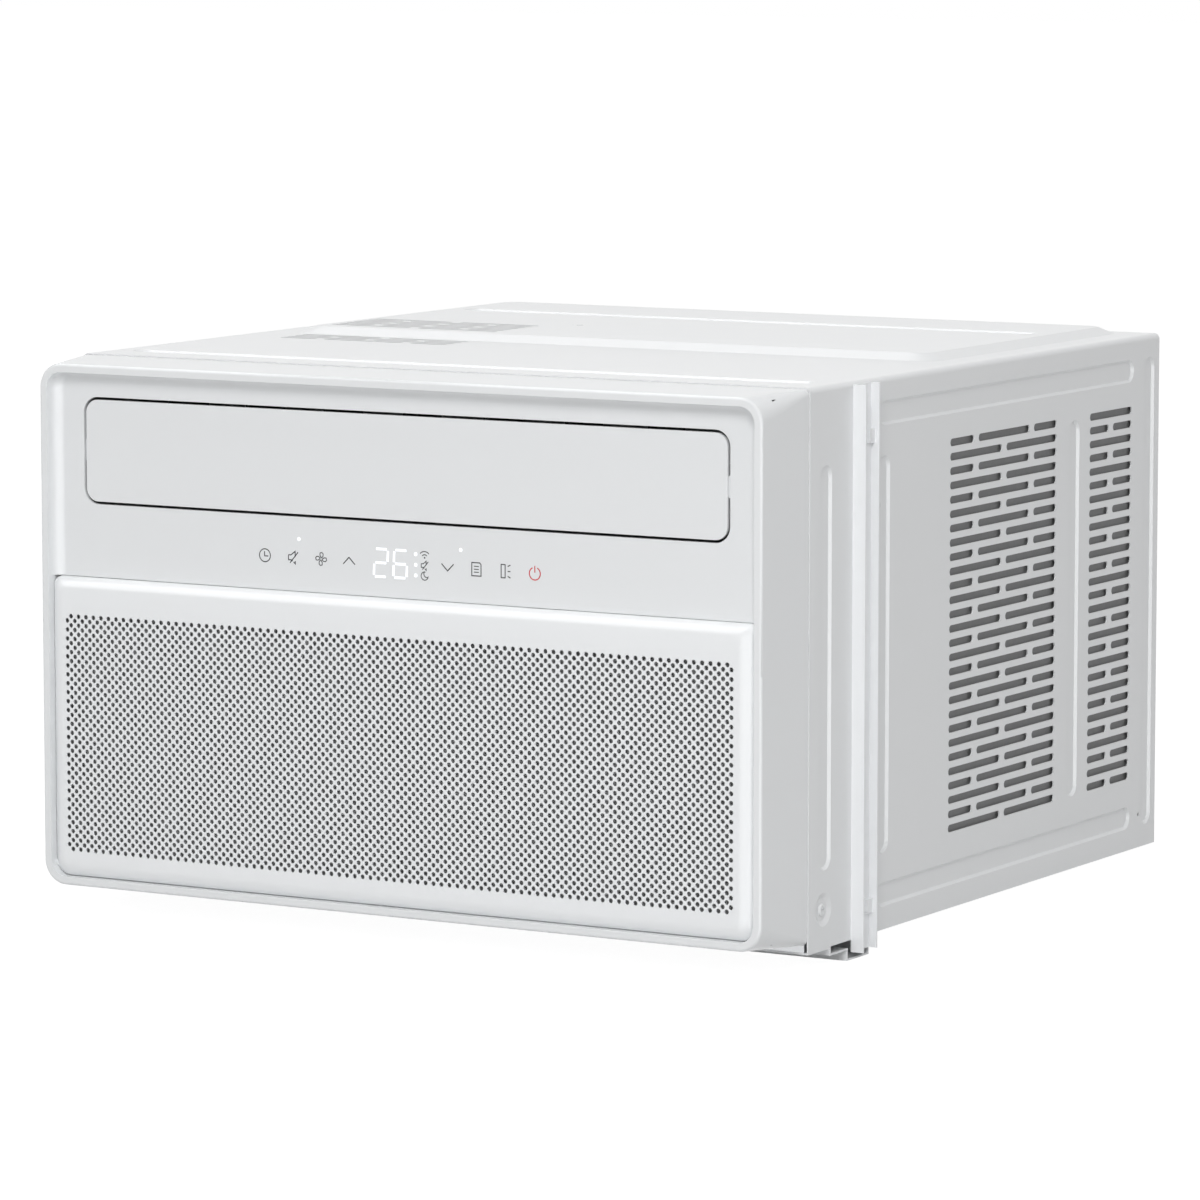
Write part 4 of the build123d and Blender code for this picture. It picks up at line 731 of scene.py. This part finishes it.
def edge_loop(edges, share, wall=0.0):
    """Outline through each side's (inset, depth)."""
    loop = []
    for quarter, (side, level) in enumerate(CORNERS):
        first, second = edges[quarter], edges[(quarter + 1) % 4]
        upright, across = (second, first) if quarter % 2 else (first, second)
        corner = GRILLE_CORNER_TOP if level > 0 else GRILLE_CORNER_LOW
        radius = max(corner - wall + (GRILLE_FACE_CORNER - corner + wall) * share, SMALLEST_CORNER)
        reach = grille_half - across[0] - radius
        height = (grille_high.z if level > 0 else grille_foot) - level * (upright[0] + radius)
        for step in range(CORNER_STEPS + 1):
            blend = step / CORNER_STEPS
            angle = pi / 2 * (quarter - 1 + blend)
            depth = first[1] * (1 - blend) + second[1] * blend
            loop.append((side * reach + radius * cos(angle), grille_front + depth,
                         height + radius * sin(angle)))
    return loop


def field_loop(y):
    """Edge of the perforated field, with as many points as a rounded outline."""
    loop = []
    for side, level in CORNERS:
        corner = (FIELD_MIDDLE + side * field_wide, y, field_middle + level * field_tall)
        loop += [corner] * (CORNER_STEPS + 1)
    return loop


print("surround", round(2 * grille_half, 4), "wide and", round(grille_depth, 4), "deep")

# %% Skin over the outlines
GRILLE_WALL = 0.002
ROUND_STEPS = 9
TINY = 1e-6
# Width and depth of the rounded edge below, at the right, above and at the left.
EDGE_ROUNDS = ((0.0092, 0.0043), (0.0114, grille_depth), (0.0085, grille_depth), (0.0096, 0.0046))


def skin_loops(loops):
    """Mesh through a list of loops with equal counts, closed back to the first."""
    form = bmesh.new()
    rings = [[form.verts.new(point) for point in loop] for loop in loops]
    count = len(rings[0])
    for first, second in zip(rings, rings[1:] + rings[:1]):
        for index in range(count):
            following = (index + 1) % count
            form.faces.new((first[index], first[following], second[following], second[index]))
    bmesh.ops.remove_doubles(form, verts=form.verts, dist=TINY)
    bmesh.ops.recalc_face_normals(form, faces=form.faces)
    return form


def build_grille_surround():
    turns = [pi / 2 * step / ROUND_STEPS for step in range(ROUND_STEPS + 1)]
    loops = [edge_loop([(0.0, grille_depth)] * 4, 0.0)]
    for turn in turns:
        loops.append(edge_loop([edge_points(*size, turn) for size in EDGE_ROUNDS], 1 - cos(turn)))
    loops.append(field_loop(grille_front))
    loops.append(field_loop(grille_front + GRILLE_WALL))
    for turn in reversed(turns):
        inner = []
        for width, depth in EDGE_ROUNDS:
            inset = GRILLE_WALL + (width - GRILLE_WALL) * (1 - cos(turn))
            inner.append((inset, GRILLE_WALL + (grille_depth - GRILLE_WALL) * (1 - sin(turn))))
        loops.append(edge_loop(inner, 1 - cos(turn), GRILLE_WALL))
    return skin_loops(loops)


surround_form = build_grille_surround()
print("skin", len(surround_form.faces), "faces")

# %% [markdown]
# ### Edge of the field and hinge pins
# The staggered diamonds leave a saw-tooth edge, which half diamonds close. Two short pins at the
# lower corners are what the cover swings on. Both join the skin before it becomes an object.

# %% Edge of the field


def field_edge_triangles(form):
    """Half diamonds that close the saw-tooth edge of the perforated field."""

    def triangle(*points):
        places = [(FIELD_MIDDLE + x, grille_front, field_middle + z) for x, z in points]
        form.faces.new([form.verts.new(place) for place in places])

    for level in (-1, 1):
        edge, tip = level * field_tall, level * (field_tall - row_pitch / 2)
        for column in range(1, HOLE_COLUMNS - 1):
            x = hole_pitch * column - FIELD_HALF
            triangle((x - hole_pitch / 2, edge), (x, tip), (x + hole_pitch / 2, edge))
        for side in (-1, 1):
            middle = (side * (field_wide - hole_pitch / 2), tip)
            triangle((side * field_wide, edge), (side * (field_wide - hole_pitch), edge), middle)
            triangle((side * field_wide, edge), middle, (side * field_wide, edge - level * row_pitch))
    for side in (-1, 1):
        reach, tip = side * field_wide, side * (field_wide - hole_pitch / 2)
        for row in range(1, HOLE_ROWS - 1):
            z = row_pitch * row - (FIELD_TOP - FIELD_LOW) / 2
            triangle((reach, z - row_pitch / 2), (tip, z), (reach, z + row_pitch / 2))


print("field edge", round(2 * field_wide, 4), "by", round(2 * field_tall, 4))

# %% Pins and the finished surround
GRILLE_PIN_RADIUS = 0.0025
GRILLE_PIN_SIDES = 16
GRILLE_HINGE_INSET = 0.006
GRILLE_SMOOTH = radians(30)


def add_pin(form, start, end, y, z):
    """Closed round pin along X."""
    rings = []
    for x in (start, end):
        ring = []
        for step in range(GRILLE_PIN_SIDES):
            angle = 2 * pi * step / GRILLE_PIN_SIDES
            up, out = GRILLE_PIN_RADIUS * sin(angle), GRILLE_PIN_RADIUS * cos(angle)
            ring.append(form.verts.new((x, y + out, z + up)))
        rings.append(ring)
    first, last = rings
    for index in range(GRILLE_PIN_SIDES):
        following = (index + 1) % GRILLE_PIN_SIDES
        form.faces.new((first[index], first[following], last[following], last[index]))
    form.faces.new(first)
    form.faces.new(last)


def finish_mesh(form, name, finish, smooth_angle=None):
    """Turns a form into an object with its finish, smooth where faces meet at a small angle."""
    mesh = bpy.data.meshes.new(name)
    form.to_mesh(mesh)
    form.free()
    mesh.materials.append(finish)
    if smooth_angle:
        mesh.shade_smooth()
        mesh.set_sharp_from_angle(angle=smooth_angle)
    piece = bpy.data.objects.new(name, mesh)
    scene.collection.objects.link(piece)
    return piece


def build_grille(form):
    hinge_y = grille_front + GRILLE_HINGE_INSET
    hinge_z = grille_low.z + GRILLE_HINGE_INSET
    for side in (-1, 1):
        inner_end = side * (grille_half - GRILLE_SPREAD - GRILLE_WALL)
        add_pin(form, inner_end, side * grille_high.x, hinge_y, hinge_z)
    field_edge_triangles(form)
    for face in form.faces:
        flat = all(abs(corner.co.y - grille_front) < TINY for corner in face.verts)
        if flat and face.normal.y > 0:
            face.normal_flip()
    return finish_mesh(form, "intake_grille_surround", grille_plastic_painted_light, GRILLE_SMOOTH)


surround = build_grille(surround_form)
for piece in (surround, perforation):
    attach(piece, "grille")
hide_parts("intake_grille")
print("grille surround", len(surround.data.polygons), "faces")

# %% [markdown]
# ## Filter net
# Behind the holes lies a fine net in a frame. Its pale grey is partly painted light, raised to offset
# the shade behind the holes. A woven picture would look flat at the edges of the holes, so the
# threads are thin bars in two crossing layers, made by one small tree.

# %% Filter net
NET_PITCH = 0.0013
NET_THREAD = 0.0009


def build_net_tree():
    tree, given = geometry_tree("filter_net_threads", ["Width", "Height", "Pitch", "Thread"])
    pitch, thread = given["Pitch"], given["Thread"]
    layers = []
    for across, along, run, length in (("x", "z", "Width", "Height"), ("z", "x", "Height", "Width")):
        count = number(tree, "FLOOR", number(tree, "DIVIDE", given[run], pitch))
        size = {across: thread, "y": thread, along: given[length]}
        layers.append(repeat(tree, row_of_points(tree, across, count, pitch), bar(tree, **size)))
    return end_tree(tree, given, join(tree, *layers))


def middle_of(name):
    low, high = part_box(name)
    return (low + high) / 2, high - low


net_middle, net_size = middle_of("filter_mesh")
net = grow(build_net_tree(), "filter_net", finishes["mesh"], Width=net_size.x, Height=net_size.z,
           Pitch=NET_PITCH, Thread=NET_THREAD)
settle(net, Matrix.Translation(net_middle))
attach(net, "grille")
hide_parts("filter_mesh")
print("filter net", len(net.data.polygons), "faces")

# %% [markdown]
# ## Coil fins
# The condenser stands bare in the open rear of the case, and its fins are what one sees there:
# hundreds of thin upright sheets. One sheet repeated along a line is all it takes, and the same
# tree makes the evaporator behind the grille.

# %% Coil fins
FIN_PITCH = 0.0020
FIN_SHEET = 0.0003


def build_fin_tree():
    tree, given = geometry_tree("coil_fins", ["Pitch", "Sheet", "Depth", "Height"], counts=["Count"])
    points = row_of_points(tree, "x", given["Count"], given["Pitch"])
    fin = bar(tree, x=given["Sheet"], y=given["Depth"], z=given["Height"])
    return end_tree(tree, given, repeat(tree, points, fin))


fin_tree = build_fin_tree()


def fin_coil(node):
    middle, size = middle_of(node)
    count = int((size.x - FIN_SHEET) / FIN_PITCH) + 1
    coil = grow(fin_tree, node + "_sheets", finishes["fin_aluminium"], Count=count, Pitch=FIN_PITCH,
                Sheet=FIN_SHEET, Depth=size.y, Height=size.z)
    settle(coil, Matrix.Translation(middle))
    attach(coil, "chassis")
    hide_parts(node)
    return count


print("fins", fin_coil("condenser_fins"), "and", fin_coil("evaporator_fins"))

# %% [markdown]
# ## Case screws
# One pan-head screw sits in the round dimple of each side, painted with the case. The head is a
# turned profile with a cross-shaped recess cut out of it.

# %% Screw form
SCREW_HEAD_RADIUS = 0.0042
SCREW_HEAD_HEIGHT = 0.0015
SCREW_SHANK_RADIUS = 0.002
SCREW_LENGTH = 0.006
SCREW_SIDES = 24
SCREW_SMOOTH = radians(35)
CROSS_LENGTH = 0.0046
CROSS_WIDTH = 0.0011
CROSS_DEPTH = 0.0009
# The head's profile from its underside to its top, as shares of its radius and height.
SCREW_DOME = ((1.0, 0.0), (1.0, 0.35), (0.93, 0.7), (0.78, 0.92), (0.62, 1.0))


def turned(profile, sides):
    """Mesh of a profile of (radius, height) points turned about Z."""
    form = bmesh.new()
    turns = [2 * pi * k / sides for k in range(sides)]
    rings = []
    for radius, height in profile:
        rings.append([form.verts.new((radius * cos(turn), radius * sin(turn), height)) for turn in turns])
    for low, high in zip(rings, rings[1:]):
        for k in range(sides):
            form.faces.new((low[k], low[(k + 1) % sides], high[(k + 1) % sides], high[k]))
    form.faces.new(list(reversed(rings[0])))
    form.faces.new(rings[-1])
    bmesh.ops.recalc_face_normals(form, faces=form.faces)
    return form


def build_screw():
    """Screw whose head's underside lies at Z 0 and whose shank points down."""
    dome = [(share * SCREW_HEAD_RADIUS, rise * SCREW_HEAD_HEIGHT) for share, rise in SCREW_DOME]
    profile = [(SCREW_SHANK_RADIUS, -SCREW_LENGTH), (SCREW_SHANK_RADIUS, 0.0)] + dome
    screw = finish_mesh(turned(profile, SCREW_SIDES), "screw_form", finishes["white_steel"], SCREW_SMOOTH)
    cross = bmesh.new()
    for turn in (0, pi / 2):
        size = Matrix.Diagonal((CROSS_LENGTH, CROSS_WIDTH, 2 * CROSS_DEPTH, 1.0))
        place = Matrix.Translation((0, 0, SCREW_HEAD_HEIGHT)) @ Matrix.Rotation(turn, 4, "Z") @ size
        bmesh.ops.create_cube(cross, size=1.0, matrix=place)
    cutter = finish_mesh(cross, "cross_form", finishes["white_steel"])
    cut = screw.modifiers.new("recess", "BOOLEAN")
    cut.object = cutter
    cut.solver = "EXACT"
    cut.use_self = True
    graph = bpy.context.evaluated_depsgraph_get()
    mesh = bpy.data.meshes.new_from_object(screw.evaluated_get(graph))
    screw.modifiers.remove(cut)
    screw.data = mesh
    bpy.data.objects.remove(cutter)
    return screw


screw_form = build_screw()
print("screw form", len(screw_form.data.polygons), "faces")

# %% [markdown]
# ### One screw on each side
# The tree sets the form on two points and turns each copy outwards, by the sign of its X.

# %% Case screws


def build_screw_tree(form):
    tree, given = geometry_tree("side_screws", ["Reach"])
    points = row_of_points(tree, "x", 2, number(tree, "MULTIPLY", given["Reach"], 2.0))
    place = add_node(tree, "GeometryNodeInputPosition").outputs[0]
    side = add_node(tree, "ShaderNodeSeparateXYZ", {0: place}).outputs["X"]
    turn = number(tree, "MULTIPLY", number(tree, "SIGN", side), pi / 2)
    source = add_node(tree, "GeometryNodeObjectInfo", {"Object": form}).outputs["Geometry"]
    return end_tree(tree, given, repeat(tree, points, source, Rotation=vector(tree, y=turn)))


screw_middle, screw_size = middle_of("case_screws")
screw_seat = screw_size.x / 2 - SCREW_HEAD_HEIGHT
screws = grow(build_screw_tree(screw_form), "side_screws", finishes["white_steel"], Reach=screw_seat)
bpy.data.objects.remove(screw_form)
settle(screws, Matrix.Translation((0, screw_middle.y, screw_middle.z)))
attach(screws, "chassis")
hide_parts("case_screws")
print("screws", len(screws.data.polygons), "faces")

# %% [markdown]
# ## Control strip
# The flat strip between the outlet and the grille carries touch marks: thin printed line drawings,
# a red power mark and two lit figures. Each mark is a ribbon along a few points, a hair in front of
# the strip. Ribbons stay sharp at any size, which a painted picture would not.

# %% Face of the strip
MM = 0.001
MARK_LIFT = 0.00006
MARK_ROW = 240.2
PROBE_DISTANCE = 0.5


def strip_plane():
    """Depth of the strip, felt with a ray from the room."""
    probe = Vector((0.0, grille_front - PROBE_DISTANCE, case_foot + MARK_ROW * MM))
    place = nodes["front_panel"].ray_cast(probe, Vector((0.0, 1.0, 0.0)))[1]
    return place.y


strip_front = strip_plane()


def strip_point(point):
    """Place on the strip of (X, Z) in millimetres above the lower edge of the case."""
    return (point.x * MM, strip_front - MARK_LIFT, case_foot + point.y * MM)


print("strip at", round(strip_front, 4))

# %% Ribbons and dots
MARK_WIDTH = 0.72
LEAST_MITRE = 0.35
DOT_SIDES = 20


def arc(x, z, radius, start=0.0, end=360.0, steps=24):
    """Points on a circle, in millimetres and degrees."""
    turns = [radians(start + (end - start) * step / steps) for step in range(steps + 1)]
    return [(x + radius * cos(turn), z + radius * sin(turn)) for turn in turns]


def add_ribbon(form, points, width=MARK_WIDTH):
    """Flat band along points on the strip, with mitred bends."""
    path = [Vector(point) for point in points]
    closed = (path[0] - path[-1]).length < TINY
    if closed:
        path = path[:-1]
    count = len(path)
    verts = []
    for index, point in enumerate(path):
        before = path[index - 1] if closed or index else point
        after = path[(index + 1) % count] if closed or index < count - 1 else point
        into = (point - before).normalized() if before is not point else (after - point).normalized()
        out = (after - point).normalized() if after is not point else into
        along = (into + out).normalized() if (into + out).length > TINY else out
        across = Vector((-along.y, along.x))
        offset = across * (width / 2 / max(along.dot(out), LEAST_MITRE))
        verts.append([form.verts.new(strip_point(end)) for end in (point + offset, point - offset)])
    for index in range(count if closed else count - 1):
        left, right = verts[index]
        next_left, next_right = verts[(index + 1) % count]
        form.faces.new((left, right, next_right, next_left))


def add_dot(form, x, z, radius):
    ring = arc(x, z, radius, steps=DOT_SIDES)[:-1]
    form.faces.new([form.verts.new(strip_point(Vector(point))) for point in ring])


def place_marks(form, name, finish):
    """Turns a form towards the room and makes it a piece of the chassis."""
    for face in form.faces:
        face.normal_update()
        if face.normal.y > 0:
            face.normal_flip()
    piece = finish_mesh(form, name, finish)
    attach(piece, "chassis")
    return piece


print("ribbons", MARK_WIDTH, "mm wide")

# %% [markdown]
# ### Printed marks
# Every mark is drawn in millimetres round its own middle. The marks are the general ones for clock,
# sound off, fan, up, down, list and swing, and three small ones beside the lamps. Words and names
# are left out.

# %% Drawings of the marks
FINE_WIDTH = 0.62
THIN_WIDTH = 0.6
BOLD_WIDTH = 0.75


def clock_mark(form, x, z):
    add_ribbon(form, arc(x, z, 4.3))
    add_ribbon(form, [(x - 0.3, z + 2.7), (x - 0.3, z - 0.4), (x + 2.6, z - 0.4)])


def mute_mark(form, x, z, size=1.0, width=MARK_WIDTH):
    horn = [(-3.6, 1.4), (-1.6, 1.4), (1.6, 3.9), (1.6, 0.2)]
    under = [(-3.6, 1.4), (-3.6, -1.9), (-1.4, -1.9), (-0.4, -2.7)]
    slash = [(-2.4, -3.9), (3.9, 3.4)]
    tick = [(0.4, -3.2), (1.7, -4.4), (1.7, -2.6)]
    for line in (horn, under, slash, tick):
        add_ribbon(form, [(x + size * u, z + size * v) for u, v in line], width)


def fan_mark(form, x, z):
    """Four bent petals round a small hub."""
    petal = [(0.4, 0.6), (-0.9, 2.4), (-0.8, 3.9), (0.6, 4.3), (1.6, 3.4), (1.5, 1.9), (0.5, 0.5)]
    for quarter in range(4):
        c, s = cos(quarter * pi / 2), sin(quarter * pi / 2)
        add_ribbon(form, [(x + u * c - v * s, z + u * s + v * c) for u, v in petal], FINE_WIDTH)


def chevron_mark(form, x, z, way):
    ends = z - way * 2.3
    add_ribbon(form, [(x - 4.6, ends), (x, z + way * 2.3), (x + 4.6, ends)], BOLD_WIDTH)


def sheet_mark(form, x, z):
    """Sheet with a folded corner and three written lines."""
    add_ribbon(form, [(x - 3.5, z - 4.3), (x - 3.5, z + 4.3), (x + 2.6, z + 4.3), (x + 3.5, z + 3.2),
                      (x + 3.5, z - 4.3), (x - 3.5, z - 4.3)])
    for level in (1.9, 0.0, -1.9):
        add_ribbon(form, [(x - 1.9, z + level), (x + 1.9, z + level)], THIN_WIDTH)


def swing_mark(form, x, z):
    """Upright louvre with three rays."""
    add_ribbon(form, [(x - 3.4, z - 4.3), (x - 3.4, z + 4.3), (x - 0.4, z + 4.3), (x - 0.4, z - 4.3),
                      (x - 3.4, z - 4.3)])
    for level, rise in ((3.2, 1.0), (0.0, 0.0), (-3.2, -1.0)):
        add_ribbon(form, [(x + 1.5, z + level), (x + 3.6, z + level + rise)], 0.7)


def waves_mark(form, x, z):
    """Two arcs over a dot."""
    add_dot(form, x, z - 2.0, 0.6)
    for radius in (2.4, 4.5):
        add_ribbon(form, arc(x, z - 2.4, radius, 42, 138, 10), FINE_WIDTH)


def moon_mark(form, x, z):
    outer = arc(x, z, 2.7, 80, 350, 20)
    inner = arc(x + 1.7, z + 1.4, 2.3, 300, 130, 14)
    add_ribbon(form, outer + inner[1:-1] + outer[:1], THIN_WIDTH)


print("drawings ready")

# %% Printed marks
CLOCK_X, MUTE_X, FAN_X, UP_X = -103.4, -81.3, -59.4, -37.7
DOWN_X, MODE_X, SWING_X = 38.0, 59.9, 82.0
SIDE_MARK_X = 20.5
LIGHT_ROWS = (247.5, 240.5, 233.5)


def build_printed_marks():
    form = bmesh.new()
    clock_mark(form, CLOCK_X, MARK_ROW)
    mute_mark(form, MUTE_X, MARK_ROW)
    fan_mark(form, FAN_X, MARK_ROW)
    chevron_mark(form, UP_X, MARK_ROW, 1)
    chevron_mark(form, DOWN_X, MARK_ROW, -1)
    sheet_mark(form, MODE_X, MARK_ROW)
    swing_mark(form, SWING_X, MARK_ROW)
    waves_mark(form, SIDE_MARK_X, LIGHT_ROWS[0])
    mute_mark(form, SIDE_MARK_X, LIGHT_ROWS[1], size=0.72, width=THIN_WIDTH)
    moon_mark(form, SIDE_MARK_X, LIGHT_ROWS[2])
    return form


ink = mottled_finish("printed_ink", (0.035, 0.035, 0.038), (0.5, 0.6), scale=200.0, contrast=0.1)
marks = place_marks(build_printed_marks(), "printed_marks", ink)
print("printed marks", len(marks.data.polygons), "faces")

# %% [markdown]
# ### Power mark
# The power mark is printed in red: a ring that is open above, with a short bar in the opening. It is
# a piece of its own, because a piece has one finish here.

# %% Power mark
POWER_X = 103.9


def build_power_mark():
    form = bmesh.new()
    add_ribbon(form, arc(POWER_X, MARK_ROW - 0.3, 4.1, 115, 425, 30), BOLD_WIDTH)
    add_ribbon(form, [(POWER_X, MARK_ROW + 0.4), (POWER_X, MARK_ROW + 4.8)], BOLD_WIDTH)
    return form


red_ink = mottled_finish("red_ink", (0.55, 0.02, 0.03), (0.45, 0.55), scale=200.0, contrast=0.08)
power = place_marks(build_power_mark(), "power_mark", red_ink)
print("power mark", len(power.data.polygons), "faces")

# %% [markdown]
# ### Lit figures
# The temperature and the lamps shine through the white strip. Seven bars, named a to g as in any
# such display, make up a figure. They glow only a little, since they stand out by being whiter than
# the strip.

# %% Lit figures and lights
FIGURES = ((-18.6, "abged"), (-3.6, "afgedc"))
FIGURE_WIDTH = 10.2
FIGURE_LOW = 231.2
FIGURE_TOP = 249.4
FIGURE_LINE = 1.6
FIGURE_GAP = FIGURE_LINE * 0.65
FIGURE_SLANT = 0.05
LIGHT_X = 13.7
LIGHT_RADIUS = 1.25
SMALL_LIGHTS = ((-76.7, 252.4), (48.0, 252.2))
LIGHT_COLOUR = (0.95, 0.96, 1.0, 1.0)
LIGHT_GLOW = 0.45


def segment_ends(segment, x):
    """End points of one of the seven bars of a figure whose left edge is at x."""
    left, right = x, x + FIGURE_WIDTH
    middle = (FIGURE_LOW + FIGURE_TOP) / 2
    gap = FIGURE_GAP
    bars = {"a": ((left + gap, FIGURE_TOP), (right - gap, FIGURE_TOP)),
            "b": ((right, FIGURE_TOP - gap), (right, middle + gap)),
            "c": ((right, middle - gap), (right, FIGURE_LOW + gap)),
            "d": ((left + gap, FIGURE_LOW), (right - gap, FIGURE_LOW)),
            "e": ((left, middle - gap), (left, FIGURE_LOW + gap)),
            "f": ((left, FIGURE_TOP - gap), (left, middle + gap)),
            "g": ((left + gap, middle), (right - gap, middle))}
    return bars[segment]


def build_lights():
    form = bmesh.new()
    for x, segments in FIGURES:
        for segment in segments:
            ends = [(u + FIGURE_SLANT * (v - FIGURE_LOW), v) for u, v in segment_ends(segment, x)]
            add_ribbon(form, ends, FIGURE_LINE)
    for x, z in [(LIGHT_X, row) for row in LIGHT_ROWS] + list(SMALL_LIGHTS):
        add_dot(form, x, z, LIGHT_RADIUS)
    return form


def light_finish():
    finish, tree, shader = start_finish("white_light")
    surface = place_group(tree, mottle_group, Colour=LIGHT_COLOUR, Scale=300.0, Lightest=1.0,
                          Darkest=0.97, Smoothest=0.4, Roughest=0.5)
    cover(tree, shader, surface)
    feed(tree, shader["Emission Color"], surface["Colour"])
    feed(tree, shader["Emission Strength"], LIGHT_GLOW)
    return finish


lights = place_marks(build_lights(), "lit_figures", light_finish())
print("lit figures", len(lights.data.polygons), "faces")
